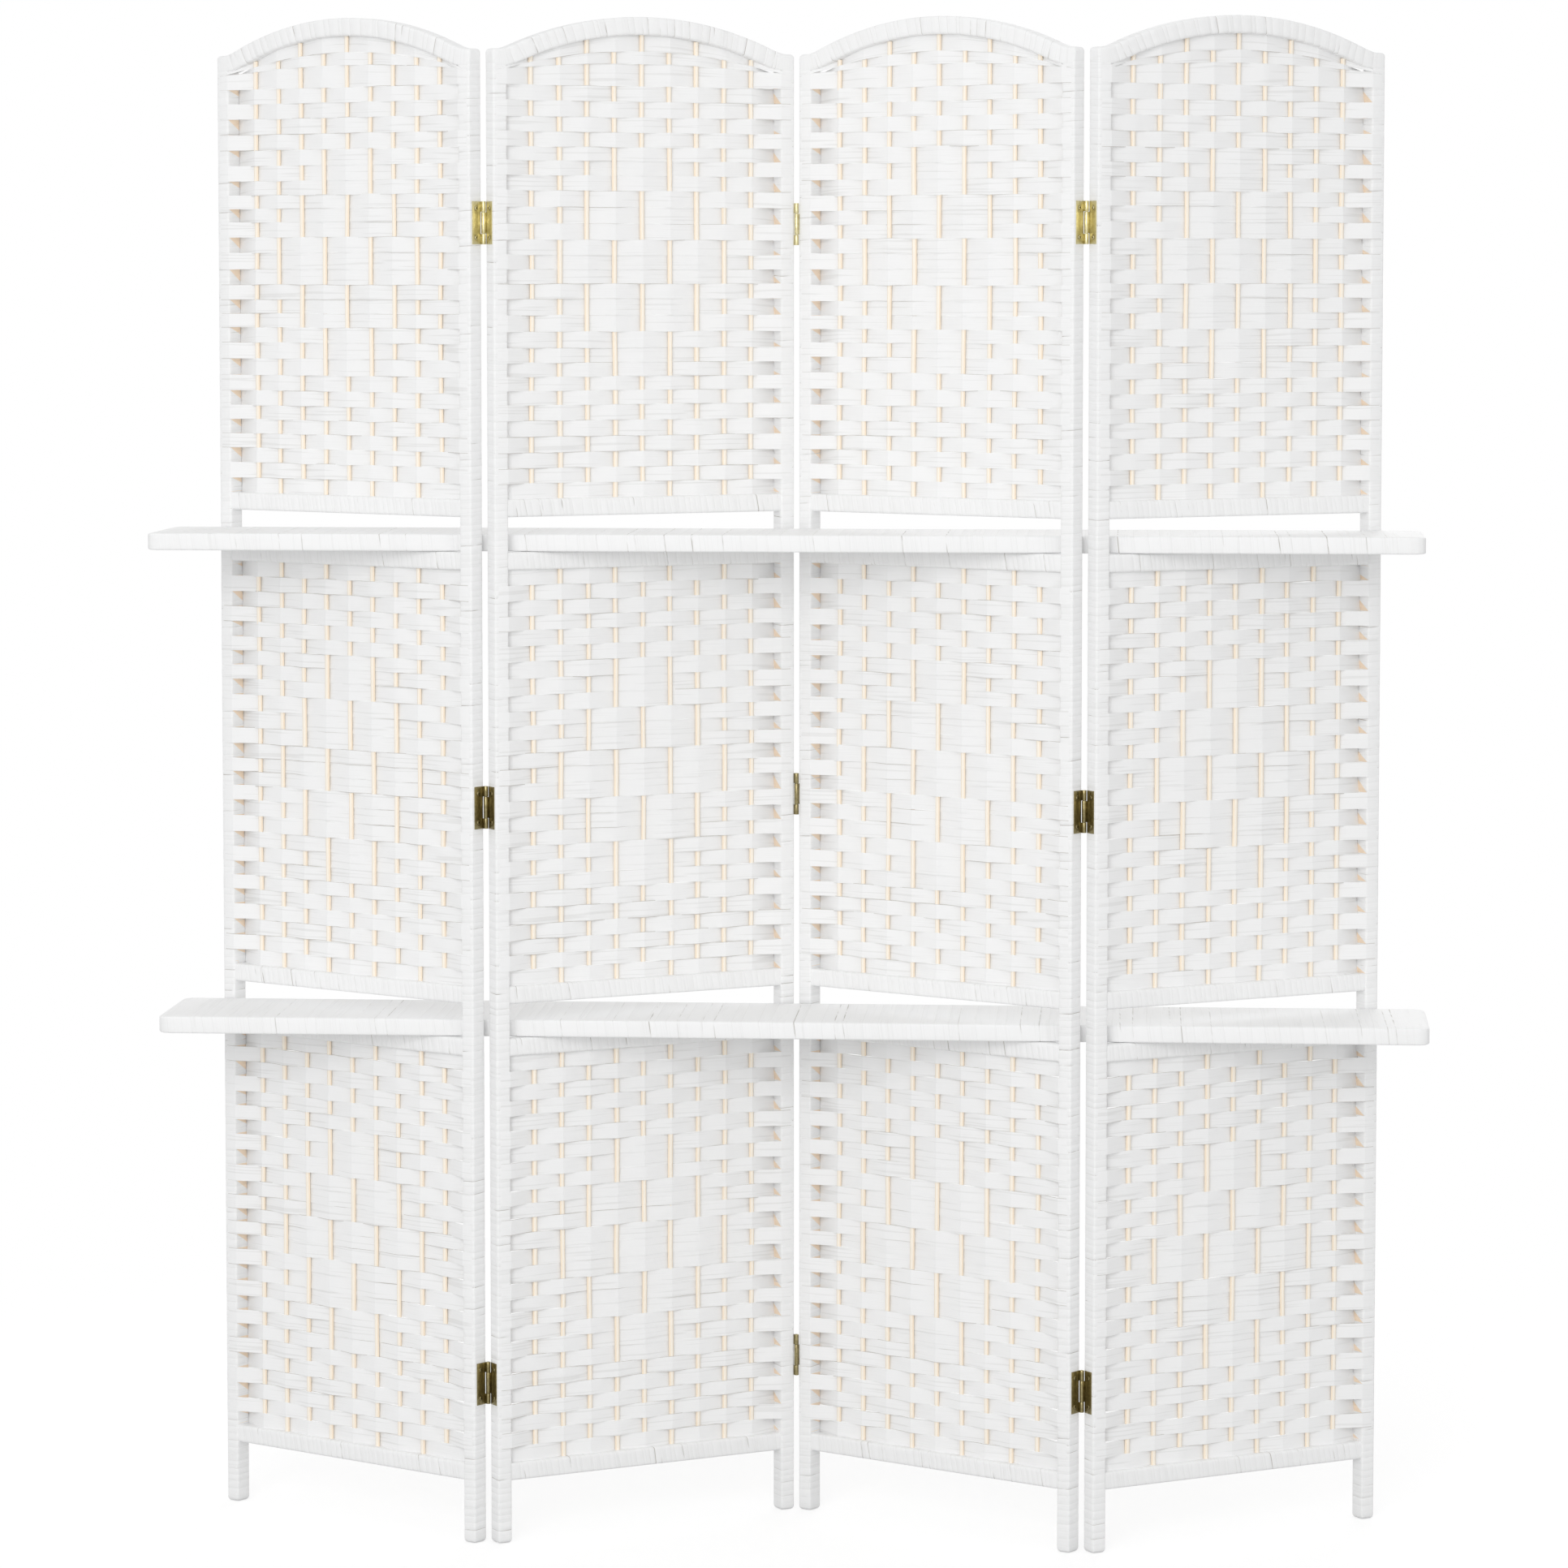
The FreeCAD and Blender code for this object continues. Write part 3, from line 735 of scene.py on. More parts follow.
def weaveSection(number, section):
    foot, head = sections[section]
    isTop = section == "top"
    isOdd = number % 2 == 1
    plainRows = countRows(foot, head)
    bowed = stripInputs["Bowed Rows"] - 1 if isTop else 0
    start = weave["diamondStart"][section]
    shared = {
        "Foot": foot, "Arch Radius": underRadius if isTop else 0.0, "Seed": sectionSeed(number, section),
    }
    strips = {
        **stripInputs, **shared, "Rows": plainRows + bowed, "Plain Rows": plainRows,
        "Row Pitch": (head - foot) / plainRows, "Diamond Start": start, "Parity": (start + 1) % 2,
        "Left Dive": weave["openDive"] if isOdd else weave["hiddenDive"],
        "Right Dive": weave["hiddenDive"] if isOdd else weave["openDive"],
        "Left Twist": weave["leftTwist"] if isOdd else 0.0,
        "Right Twist": 0.0 if isOdd else weave["rightTwist"],
        "Material": stripMaterial,
    }
    bars = {**rodInputs, **shared, "Height": head - foot, "Material": rodMaterial}
    return grow(weaveTree, strips), grow(rodTree, bars)


def weavePanel(number):
    stand = panelPlace(number)
    body = "panel_%d" % number
    prefix = "panel_%d_" % number
    stripMeshes = []
    rodMeshes = []
    for section in sections:
        stripMesh, rodMesh = weaveSection(number, section)
        stripMesh.transform(stand)
        rodMesh.transform(stand)
        stripMeshes.append(stripMesh)
        rodMeshes.append(rodMesh)
    woven = piece(prefix + "weave", stripMeshes, body, [prefix + "weft_strips"])
    piece(prefix + "rods", rodMeshes, body, [prefix + "warp_rods"])
    return woven


for number in panelNumbers:
    made = weavePanel(number)
print("weave made:", len(made.data.polygons), "faces in a panel")

# the paper stands this far off the stiles, and a little further off the arches
paperThick = 0.0005
archStand = 1.4 * paperThick
stileWrap = {
    "First Side": timber["stileWidth"] + 2 * paperThick,
    "Second Side": timber["stileDepth"] + 2 * paperThick,
    "Corner": 0.0024, "End Round": 0.004, "First Cuts": 2, "Second Cuts": 2, "Turn": 0.0085, "Uneven": 0.35,
    "Line Depth": 0.00010, "Line Width": 0.0003, "Line Shade": 0.16, "Slit Share": 0.26,
    "Slit Depth": 0.0005, "Slit Width": 0.0006, "Tilt": 0.06, "Skew": 0.06,
}
railWrap = {
    "First Side": timber["railDepth"], "Second Side": railHeight,
    "Corner": 0.0030, "End Round": 0.002, "First Cuts": 2, "Second Cuts": 4, "Turn": 0.0075, "Uneven": 0.7,
    "Line Depth": 0.00010, "Line Width": 0.0003, "Line Shade": 0.16, "Slit Share": 0.14,
    "Slit Depth": 0.0006, "Slit Width": 0.0008, "Tilt": 0.22, "Skew": 0.1,
}
archWrap = {
    **railWrap, "First Side": timber["stileDepth"] + 2 * archStand, "End Round": 0.003, "Turn": 0.011,
    "Slit Share": 0.34, "Slit Width": 0.0007, "Line Shade": 0.3, "Tilt": 0.16,
}

# what the turns of every wound piece share
turns = {
    "endShares": (0.15, 0.45),  # where the rings of an end lie, in shares of its rounding
    "patchScale": 50.0,
    "patchStart": 0.42,
    "patchSharpness": 6,
    "leastOpen": 0.25,
    "faintScale": 60.0,
    "leastLean": 0.5,
    "leanFade": 0.02,
    "cornerSteps": 3,
    "sharpAngle": 0.9,
}


# four rings to a turn: on the line, past it, at the middle, and before the next line
def placeRings(tree, given, path, length):
    seed = given["Seed"]
    endRound = given["End Round"]
    count = (length / given["Turn"]).floor()
    rings = result(tree, "GeometryNodeResampleCurve", {"Curve": path, "Count": count * 4 + 1}, mode="COUNT")
    ring = index(tree)
    turn = (ring / 4).floor()
    onLine, pastLine, atMiddle, beforeNext = [(ring % 4).isNear(number) for number in range(4)]
    inner = turn.over(1.5) * turn.under(count - 1.5)

    def isSlit(number):
        return randomValue(tree, 0.0, 1.0, number, seed + 7).under(given["Slit Share"])

    def lineSpot(number):
        loose = number.over(0.5) * number.under(count - 0.5) * given["Uneven"]
        return (number + randomValue(tree, -0.5, 0.5, number, seed) * loose) * length / count

    def lineWidth(number):
        return mixed(given["Line Width"], given["Slit Width"], isSlit(number))

    def leanOf(number):
        return randomValue(tree, turns["leastLean"], 1.0, number, seed + 3)

    start = lineSpot(turn)
    stop = lineSpot(turn + 1)
    spot = start * onLine + (start + lineWidth(turn)) * pastLine
    spot = spot + (start + stop) * 0.5 * atMiddle + (stop - lineWidth(turn + 1)) * beforeNext

    # in the first and the last turn the rings gather to round the end off
    near, far = turns["endShares"]
    share = pastLine * near + atMiddle * far + beforeNext
    spot = mixed(spot, share * endRound, turn.isNear(0))
    share = onLine + pastLine + atMiddle * far + beforeNext * near
    lastSpot = mixed(length - share * endRound, start, onLine)
    spot = mixed(spot, lastSpot, (turn - count + 1).isNear(0))
    toEnd = spot.calc("MINIMUM", length - spot)
    drop = (endRound - toEnd).calc("MAXIMUM", 0.0)
    inset = endRound - (endRound * endRound - drop * drop).calc("SQRT")
    kept = {
        "spot": spot, "turn": turn, "line": onLine * inner, "slit": isSlit(turn) * onLine * inner,
        "fullness": 1 - inset / given["First Side"] * 2,
        "leaning": mixed(leanOf(turn), leanOf(turn + 1), atMiddle * 0.5 + beforeNext),
    }
    for name, value in kept.items():
        rings = storeValue(tree, rings, name, value)
    sample = place(tree, "GeometryNodeSampleCurve", {"Curves": path, "Length": spot}, mode="LENGTH").outputs
    rings = storeValue(tree, rings, "heading", sample["Tangent"], "FLOAT_VECTOR")
    return moved(tree, rings, Position=sample["Position"])


# the section of the timber: rounded corners, and sides cut into steps
def woundSection(tree, given):
    steps = turns["cornerSteps"]
    feeds = {"Width": given["First Side"], "Height": given["Second Side"]}
    profile = result(tree, "GeometryNodeCurvePrimitiveQuadrilateral", feeds)
    feeds = {"Curve": profile, "Count": steps, "Radius": given["Corner"], "Limit Radius": True}
    profile = result(tree, "GeometryNodeFilletCurve", feeds, mode="POLY")
    sidePoints = 2 * (steps + 1)
    corner = index(tree) % sidePoints
    onFirst = corner.isNear(steps)
    onSecond = corner.isNear(sidePoints - 1)
    cuts = onFirst * given["First Cuts"] + onSecond * given["Second Cuts"]
    profile = result(tree, "GeometryNodeSubdivideCurve", {"Curve": profile, "Cuts": cuts})
    spotRound = result(tree, "GeometryNodeInputPosition", {})
    return storeValue(tree, profile, "aroundSpot", spotRound, "FLOAT_VECTOR")


# lines and slits sink along the normal and get painted shade, slits only over part of the way round
def sinkLines(tree, given, cover):
    seed = given["Seed"]
    first, second = parts(tree, storedValue(tree, "aroundSpot", "FLOAT_VECTOR"))[:2]
    turn = storedValue(tree, "turn")
    line = storedValue(tree, "line")
    slit = storedValue(tree, "slit")

    def spots(scale, apart):
        return noise(tree, first * scale, second * scale, turn * apart + seed)

    patch = spots(turns["patchScale"], 4.3) - turns["patchStart"]
    opened = clamped(patch * turns["patchSharpness"]) * slit
    opened = opened * randomValue(tree, turns["leastOpen"], 1.0, turn, seed + 11)
    faint = spots(turns["faintScale"], 7.9) * 2
    sink = line * given["Line Depth"] + opened * given["Slit Depth"]
    shade = line * given["Line Shade"] * faint * (1 - slit) + opened
    cover = storeValue(tree, cover, "grooveShade", shade)
    coordinates = vector(tree, first + second, storedValue(tree, "spot"), turn + seed)
    cover = storeValue(tree, cover, "wrapCoord", coordinates, "FLOAT_VECTOR")
    normal = result(tree, "GeometryNodeInputNormal", {})
    return moved(tree, cover, Offset=scaled(tree, normal, 0 - sink))


# the turns lean a little, but not at the ends
def leanTurns(tree, given, cover, length):
    first, second = parts(tree, storedValue(tree, "aroundSpot", "FLOAT_VECTOR"))[:2]
    along = storedValue(tree, "spot")
    lean = (first * given["Skew"] + second * given["Tilt"]) * storedValue(tree, "leaning")
    toEnd = along.calc("MINIMUM", length - along)
    lean = lean * (toEnd / turns["leanFade"]).calc("MINIMUM", 1.0)
    heading = storedValue(tree, "heading", "FLOAT_VECTOR")
    return moved(tree, cover, Offset=scaled(tree, heading, lean))


# strip wound round timber: turns of uneven width, with a line between each two and some left open
def buildWrapTree():
    tree, given = newTree("woundTimber", {**stileWrap, "Seed": 1})
    path = result(tree, "GeometryNodeMeshToCurve", {"Mesh": given["Geometry"]})
    length = Field(tree, result(tree, "GeometryNodeCurveLength", {"Curve": path}))
    feeds = {
        "Curve": placeRings(tree, given, path, length), "Profile Curve": woundSection(tree, given),
        "Scale": storedValue(tree, "fullness"), "Fill Caps": True,
    }
    cover = result(tree, "GeometryNodeCurveToMesh", feeds)
    cover = leanTurns(tree, given, sinkLines(tree, given, cover), length)
    closeTree(tree, given, cover, turns["sharpAngle"])
    return tree


wrapTree = buildWrapTree()


def wind(path, settings, seed):
    return grow(wrapTree, {**settings, "Seed": seed, "Material": wrapMaterial}, path)


railNames = ("bottom_rail", "lower_slot_sill", "lower_slot_head", "upper_slot_sill", "upper_slot_head")
railLap = 0.005  # how far the wound rails run into the stiles
bareMargin = 0.0004  # how near its inner face a point of a stile counts as on it


# stiles keep a bare inner edge beside the weave, counted in rows for the material
def markBare(mesh, number, side):
    rowMark = mesh.attributes.new("bareRow", "FLOAT", "POINT")
    depthMark = mesh.attributes.new("bareDepth", "FLOAT", "POINT")
    innerFace = timber["stileWidth"] / 2 + paperThick - bareMargin
    for vertex in mesh.vertices:
        x, y, z = vertex.co
        inside = (x - side * stileMiddles / 2) * -side > innerFace
        for section, (foot, head) in sections.items():
            if inside and foot < z < head:
                rows = countRows(foot, head)
                even = (z - foot) / (head - foot) * rows
                line = even
                for attempt in range(4):  # a few rounds settle which uneven line is at this height
                    line = even - rowDrift(line, rows, sectionSeed(number, section))
                rowMark.data[vertex.index].value = 1 + (line if side < 0 else rows - line)
                depthMark.data[vertex.index].value = y / timber["stileDepth"] + 0.5


arch = {
    "steps": 48,
    "bend": 0.015,  # the ends start to level off this far inside the stiles
}


# an arc that levels off over the stiles
def archPath():
    radius = archRadius - railHeight / 2
    middle = crown - archRadius
    bend = halfOpening - arch["bend"]
    bendRise = math.sqrt(radius ** 2 - bend ** 2)
    end = halfOpening + timber["stileWidth"] + paperThick
    points = []
    for number in range(arch["steps"] + 1):
        x = -end + 2 * end * number / arch["steps"]
        past = abs(x) - bend
        if past <= 0:
            z = middle + math.sqrt(radius ** 2 - x ** 2)
        else:
            z = middle + bendRise - bend / bendRise * (past - past ** 2 / (2 * (end - bend)))
        points.append((x, 0, z))
    return points


def wrapPanel(number):
    stand = panelPlace(number)
    prefix = "panel_%d_" % number
    seed = number * 20

    def cover(name, mesh, node):
        mesh.transform(stand)
        return piece(prefix + name + "_wrap", [mesh], "panel_%d" % number, [prefix + node])

    for side, name in ((-1, "left_stile"), (1, "right_stile")):
        x = side * stileMiddles / 2
        mesh = wind([(x, 0, 0.0), (x, 0, stileTop)], stileWrap, seed + side)
        markBare(mesh, number, side)
        cover(name, mesh, name)
    reach = halfOpening + railLap
    for order, name in enumerate(railNames):
        low, high = railSpan(number, name)
        level = (low + high) / 2
        cover(name, wind([(-reach, 0, level), (reach, 0, level)], railWrap, seed + order + 3), name)
    return cover("arch", wind(archPath(), archWrap, seed + 9), "arch_rail")


for number in panelNumbers:
    made = wrapPanel(number)
print("frames wound:", len(made.data.polygons), "faces in an arch")

# shelves: a frame wound crosswise all round, with the corners of its ends rounded
shelfWrap = {
    "Corner": 0.0022, "End Round": 0.013, "First Cuts": 14, "Second Cuts": 2, "Turn": 0.017, "Uneven": 0.7,
    "Line Depth": 0.00012, "Line Width": 0.0004, "Line Shade": 0.12, "Slit Share": 0.30,
    "Slit Depth": 0.0004, "Slit Width": 0.0009, "Tilt": 0.15, "Skew": 0.02,
}
shelfSeeds = {"upper_shelf": 101, "lower_shelf": 102}


def wrapShelf(name, seed):
    deckLow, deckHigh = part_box(name + "_deck")
    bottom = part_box(name + "_rails")[0].z
    middle = (deckHigh.z + bottom) / 2
    across = (deckLow.y + deckHigh.y) / 2
    sides = {"First Side": deckHigh.y - deckLow.y, "Second Side": deckHigh.z - bottom}
    path = [(deckLow.x, across, middle), (deckHigh.x, across, middle)]
    mesh = wind(path, {**shelfWrap, **sides}, seed)
    covered = [name + "_deck", name + "_rails", name + "_battens"]
    return piece(name + "_cover", [mesh], name, covered)


for name, seed in shelfSeeds.items():
    made = wrapShelf(name, seed)
print("shelves wound:", len(made.data.polygons), "faces")

# bright and aged are one brass, painted lighter and darker for the light that falls on the hinges
brassLook = {
    "bright": {"pale": (0.74, 0.68, 0.42, 1), "deep": (0.52, 0.45, 0.22, 1), "roughness": 0.34},
    "aged": {"pale": (0.34, 0.29, 0.15, 1), "deep": (0.16, 0.13, 0.06, 1), "roughness": 0.30},
    "rimAndCutDark": (0.09, 0.07, 0.03, 1),
    "smudgeScale": 260.0,
    "smudgeStart": 0.3,
    "smudgeShare": 1.8,
    "brushAcross": 3000.0,
    "brushAlong": 90.0,
    "brushShare": 0.25,
    "bumpStrength": 0.2,
    "bumpDepth": 0.0001,
}


def brass(lighting):
    material, tree, shader = newMaterial(lighting + " brass")
    look = brassLook[lighting]
    x, y, z = objectSpot(tree)
    scale = brassLook["smudgeScale"]
    smudge = noise(tree, x * scale, y * scale, z * scale, 4.0) - brassLook["smudgeStart"]
    across = brassLook["brushAcross"]
    brushed = noise(tree, x * across, y * across, z * brassLook["brushAlong"])
    colour = blendColours(tree, smudge * brassLook["smudgeShare"], look["pale"], look["deep"])
    # darker where the screw heads are marked round the rim and in the cut
    colour = blendColours(tree, attribute(tree, "rimAndCutDark"), colour, brassLook["rimAndCutDark"])
    connect(tree, colour, shader.inputs["Base Color"])
    roughness = look["roughness"] + (brushed - 0.5) * brassLook["brushShare"]
    connect(tree, roughness, shader.inputs["Roughness"])
    shader.inputs["Metallic"].default_value = 1.0
    bump(tree, brushed, brassLook, shader)
    return material


litBrass = brass("bright")
shadedBrass = brass("aged")


# butt hinges: leaves on the stiles' outer edges, and knuckles round the pins
hinge = {
    "leafThick": 0.001,
    "notch": 0.0004,
    "knuckleGap": 0.0003,
    "knuckleLap": 0.001,
    "middleKnuckle": 0.025,
    "bevel": 0.00022,
    "knuckleSides": 28,
    "sharpAngle": 0.6,
    "levelGap": 0.1,
    "litLevel": 2,
}


# the top hinge of each joint gets the brass with painted light, the others the brass with painted shade
def hingeBrass(level):
    return litBrass if level == hinge["litLevel"] else shadedBrass


# a node's points in a panel's own frame
def localPoints(node, stand):
    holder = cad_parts[node]
    turned = stand.inverted() @ holder.matrix_world
    return [turned @ vertex.co for vertex in holder.data.vertices]


# the foot and head of each hinge, from the lowest up
def hingeLevels(points):
    heights = sorted(point.z for point in points)
    groups = [[heights[0]]]
    for height in heights:
        if height - groups[-1][-1] > hinge["levelGap"]:
            groups.append([])
        groups[-1].append(height)
    return [(group[0], group[-1]) for group in groups]


def edgesAt(vertices):
    return list(dict.fromkeys(edge for vertex in vertices for edge in vertex.link_edges))


def roundEdges(mesh, edges):
    bmesh.ops.bevel(mesh, geom=edges, offset=hinge["bevel"], segments=2, affect="EDGES", profile=0.5)


def addBlock(mesh, low, high):
    made = bmesh.ops.create_cube(mesh, size=1.0)["verts"]
    middle = (Vector(low) + Vector(high)) / 2
    size = Vector(high) - Vector(low)
    for vertex in made:
        vertex.co = Vector([vertex.co[axis] * abs(size[axis]) for axis in range(3)]) + middle
    roundEdges(mesh, edgesAt(made))


def addKnuckle(mesh, x, y, radius, low, high):
    sizes = {"radius1": radius, "radius2": radius, "depth": high - low}
    made = bmesh.ops.create_cone(mesh, cap_ends=True, segments=hinge["knuckleSides"], **sizes)["verts"]
    for vertex in made:
        vertex.co += Vector((x, y, (low + high) / 2))
    rims = []
    for edge in edgesAt(made):
        first, second = edge.verts
        if abs(first.co.z - second.co.z) < hinge["bevel"]:
            rims.append(edge)
    roundEdges(mesh, rims)


def leafMesh(name, points, pinX, pinY, side, span, isMiddle, material):
    low, high = span
    level = (low + high) / 2
    faceX = side * min(abs(point.x) for point in points)
    back = 1 if pinY > 0 else -1
    farY = min(point.y * back for point in points) * back
    radius = abs(pinX - faceX)
    half = hinge["middleKnuckle"] / 2
    if isMiddle:
        knuckles = [(level - half, level + half)]
    else:
        knuckles = [(low, level - half - hinge["knuckleGap"]), (level + half + hinge["knuckleGap"], high)]
    outX = faceX + side * hinge["leafThick"]
    nearY = pinY - back * (radius + hinge["notch"])
    mesh = bmesh.new()
    addBlock(mesh, (faceX, farY, low), (outX, nearY, high))
    for bottom, top in knuckles:
        addBlock(mesh, (faceX, nearY - back * hinge["knuckleLap"], bottom), (outX, pinY, top))
        addKnuckle(mesh, pinX, pinY, radius, bottom, top)
    bmesh.ops.recalc_face_normals(mesh, faces=mesh.faces)
    leaf = bpy.data.meshes.new(name)
    mesh.to_mesh(leaf)
    mesh.free()
    leaf.materials.append(material)
    leaf.shade_smooth()
    leaf.set_sharp_from_angle(angle=hinge["sharpAngle"])
    return leaf


# domed screw heads with a cross cut in them, one at each point given
screwInputs = {"Radius": 0.0029, "Rise": 0.0012, "Slot Width": 0.0008, "Slot Depth": 0.0007}
screw = {
    "spacing": 0.034,
    "segments": 20,
    "rings": 10,
    "slotLength": 1.3,
    "mostSpin": 3.1,
    "rimStart": 0.9,
    "cutReach": 0.72,
    "cutLeast": 0.0001,
    "rimAndCutDarkShare": 0.9,
}


def buildScrewTree():
    tree, given = newTree("crossHeadScrews", {**screwInputs, "Side": 1.0, "Seed": 1})
    radius = given["Radius"]
    rise = given["Rise"]
    feeds = {"Segments": screw["segments"], "Rings": screw["rings"], "Radius": 1.0}
    ball = result(tree, "GeometryNodeMeshUVSphere", feeds)
    feeds = {"Geometry": ball, "Scale": vector(tree, radius, radius, rise)}
    head = result(tree, "GeometryNodeTransform", feeds)
    slot = result(tree, "GeometryNodeMeshCube", {"Size": (1.0, 1.0, 1.0)})
    top = vector(tree, 0.0, 0.0, rise)
    short = given["Slot Width"]
    long = radius * screw["slotLength"]
    for wide, tall in ((short, long), (long, short)):
        size = vector(tree, wide, tall, given["Slot Depth"] * 2)
        feeds = {"Geometry": slot, "Scale": size, "Translation": top}
        feeds = {"Mesh 1": head, "Mesh 2": result(tree, "GeometryNodeTransform", feeds)}
        head = result(tree, "GeometryNodeMeshBoolean", feeds, operation="DIFFERENCE")

    # darker round the rim and in the cut
    x, y, z = position(tree)
    out = (x * x + y * y).calc("SQRT") / radius
    dome = (1 - out * out).calc("MAXIMUM", 0.0).calc("SQRT") * rise
    inCut = out.under(screw["cutReach"]) * z.under(dome - screw["cutLeast"])
    rimAndCutDark = out.over(screw["rimStart"]).calc("MAXIMUM", inCut) * screw["rimAndCutDarkShare"]
    head = storeValue(tree, head, "rimAndCutDark", rimAndCutDark)
    feeds = {"Geometry": head, "Rotation": vector(tree, 0.0, given["Side"] * (math.pi / 2), 0.0)}
    head = result(tree, "GeometryNodeTransform", feeds)
    spin = randomValue(tree, 0.0, screw["mostSpin"], index(tree), given["Seed"])
    heads = copies(tree, given["Geometry"], head, Rotation=vector(tree, spin, 0.0, 0.0))
    closeTree(tree, given, heads)
    return tree


screwTree = buildScrewTree()


def screwHeads(points, spans, side, seed):
    faceX = side * (min(abs(point.x) for point in points) + hinge["leafThick"])
    half = screw["spacing"] / 2
    meshes = []
    for order, (low, high) in enumerate(spans):
        level = (low + high) / 2
        path = [(faceX, 0, level - half), (faceX, 0, level + half)]
        varied = {"Side": float(side), "Seed": seed + order, "Material": hingeBrass(order)}
        meshes.append(grow(screwTree, {**screwInputs, **varied}, path))
    return meshes


def fitHinges(number):
    stand = panelPlace(number)
    body = "panel_%d" % number
    heads = []
    joints = []
    if number > panelNumbers[0]:
        joints.append(("hinge_%d%d" % (number - 1, number), "_right_leaves", -1, True))
    if number < panelNumbers[-1]:
        joints.append(("hinge_%d%d" % (number, number + 1), "_left_leaves", 1, False))
    for name, ending, side, isMiddle in joints:
        points = localPoints(name + ending, stand)
        pinPoints = localPoints(name + "_pins", stand)
        pinX = sum(point.x for point in pinPoints) / len(pinPoints)
        pinY = sum(point.y for point in pinPoints) / len(pinPoints)
        spans = hingeLevels(points)
        leaves = []
        for order, span in enumerate(spans):
            leaf = leafMesh(name, points, pinX, pinY, side, span, isMiddle, hingeBrass(order))
            leaf.transform(stand)
            leaves.append(leaf)
        heads += screwHeads(points, spans, side, number * 10 + side)
        piece(name + ending + "_brass", leaves, body, [name + ending])
    for head in heads:
        head.transform(stand)
    return piece("panel_%d_screw_heads" % number, heads, body, ["panel_%d_hinge_screws" % number])


for number in panelNumbers:
    made = fitHinges(number)
# the pins take the brass with painted shade
for name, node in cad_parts.items():
    if name.endswith("_pins"):
        node.data.materials.clear()
        node.data.materials.append(shadedBrass)
print("hinges fitted:", len(made.data.polygons), "faces of screw heads in a panel")

# studio
studio = {
    "floorSize": 40.0,
    "floorBounce": 0.66,
    "floorRoughness": 0.9,
    "floorGlow": 0.60,
    "floorMatt": 0.45,
    "fadeStart": 0.9,
    "fadeWidth": 1.2,
    "worldStrength": 0.81,
    "camera": (0.500387, -6.781564, 1.498),
    "yaw": 4.283,
    "pitch": -4.444,
    "lens": 131.98,
    "sensor": 36.0,
    "shiftUp": -0.04,
    "farthest": 200.0,
}
lamps = {
    "key": {"spot": (-1.0, -5.6, 2.3), "target": (0, 0, 1.0), "power": 95.0, "width": 2.6},
    "fill": {"spot": (3.4, -4.2, 1.9), "target": (0, 0, 0.9), "power": 7.0, "width": 3.0},
    "back": {"spot": (0.9, 5.4, 3.0), "target": (0, 0, 1.0), "power": 45.0, "width": 2.6},
}
white = (1, 1, 1, 1)


def grey(level):
    return (level, level, level, 1)


# 1 for what the camera sees, straight or by way of metal or glass
def seenDirectly(tree):
    rays = place(tree, "ShaderNodeLightPath", {}).outputs
    seen = Field(tree, rays["Is Camera Ray"])
    for label in ("Is Glossy Ray", "Is Transmission Ray"):
        seen = seen.calc("MAXIMUM", Field(tree, rays[label]))
    return seen


def mixShaders(tree, share, first, second):
    return result(tree, "ShaderNodeMixShader", {0: share, 1: first, 2: second})


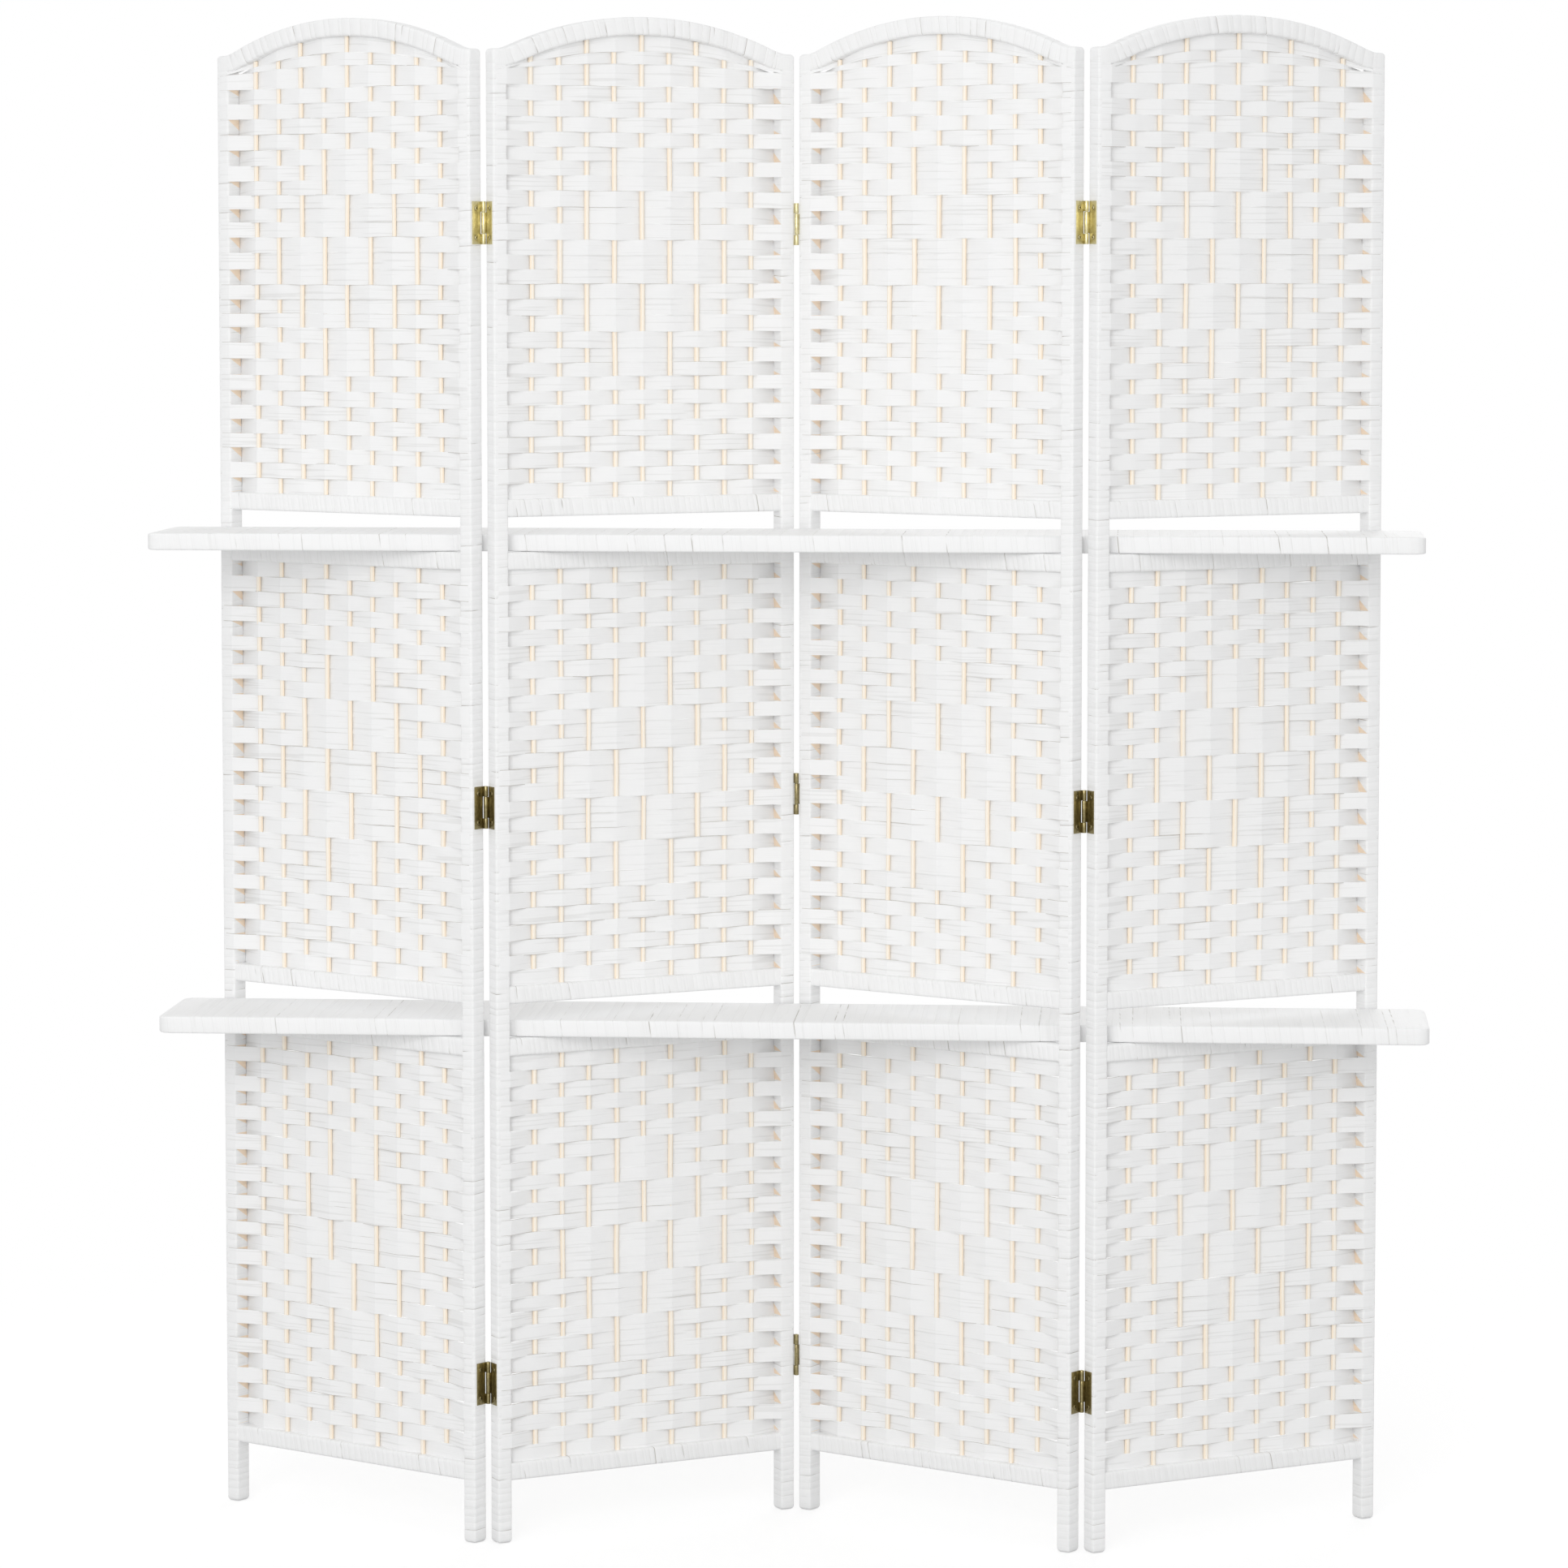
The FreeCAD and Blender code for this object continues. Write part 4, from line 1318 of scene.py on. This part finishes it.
def addFloor():
    half = studio["floorSize"] / 2
    mesh = bpy.data.meshes.new("floor")
    corners = [(-half, -half, 0), (half, -half, 0), (half, half, 0), (-half, half, 0)]
    mesh.from_pydata(corners, [], [(0, 1, 2, 3)])
    floor = bpy.data.objects.new("floor", mesh)
    bpy.context.scene.collection.objects.link(floor)
    material, tree, shader = newMaterial("pale floor")
    shader.inputs["Base Color"].default_value = grey(studio["floorBounce"])
    shader.inputs["Roughness"].default_value = studio["floorRoughness"]

    # the eye sees white paper with a soft shadow on it, and plain white further off
    glow = result(tree, "ShaderNodeEmission", {"Color": white, "Strength": studio["floorGlow"]})
    matt = result(tree, "ShaderNodeBsdfDiffuse", {"Color": grey(studio["floorMatt"])})
    paper = result(tree, "ShaderNodeAddShader", {0: glow, 1: matt})
    plain = result(tree, "ShaderNodeEmission", {"Color": white, "Strength": 1.0})
    x, y = objectSpot(tree)[:2]
    away = ((x * x + y * y).calc("SQRT") - studio["fadeStart"]) / studio["fadeWidth"]
    paper = mixShaders(tree, eased(clamped(away)), paper, plain)
    chosen = mixShaders(tree, seenDirectly(tree), shader.outputs[0], paper)
    connect(tree, chosen, tree.nodes["Material Output"].inputs["Surface"])
    mesh.materials.append(material)


def addWorld():
    world = bpy.data.worlds.new("studio")
    world.use_nodes = True
    tree = world.node_tree
    lit = tree.nodes["Background"]
    lit.inputs["Color"].default_value = white
    lit.inputs["Strength"].default_value = studio["worldStrength"]
    plain = result(tree, "ShaderNodeBackground", {"Color": white, "Strength": 1.0})
    chosen = mixShaders(tree, seenDirectly(tree), lit.outputs[0], plain)
    connect(tree, chosen, tree.nodes["World Output"].inputs["Surface"])
    bpy.context.scene.world = world


def addLamp(name, settings):
    lamp = bpy.data.lights.new(name, "AREA")
    lamp.energy = settings["power"]
    lamp.size = settings["width"]
    holder = bpy.data.objects.new(name, lamp)
    holder.location = settings["spot"]
    aim = Vector(settings["target"]) - Vector(settings["spot"])
    holder.rotation_euler = aim.to_track_quat("-Z", "Y").to_euler()
    bpy.context.scene.collection.objects.link(holder)


def addCamera():
    lens = bpy.data.cameras.new("camera")
    lens.lens = studio["lens"]
    lens.sensor_width = studio["sensor"]
    lens.shift_y = studio["shiftUp"]
    lens.clip_end = studio["farthest"]
    camera = bpy.data.objects.new("camera", lens)
    camera.location = studio["camera"]
    camera.rotation_euler = (math.radians(90 + studio["pitch"]), 0, math.radians(studio["yaw"]))
    bpy.context.scene.collection.objects.link(camera)
    bpy.context.scene.camera = camera


addFloor()
addWorld()
for name, settings in lamps.items():
    addLamp(name, settings)
addCamera()
bpy.context.scene.view_settings.view_transform = "Standard"
print("studio set")
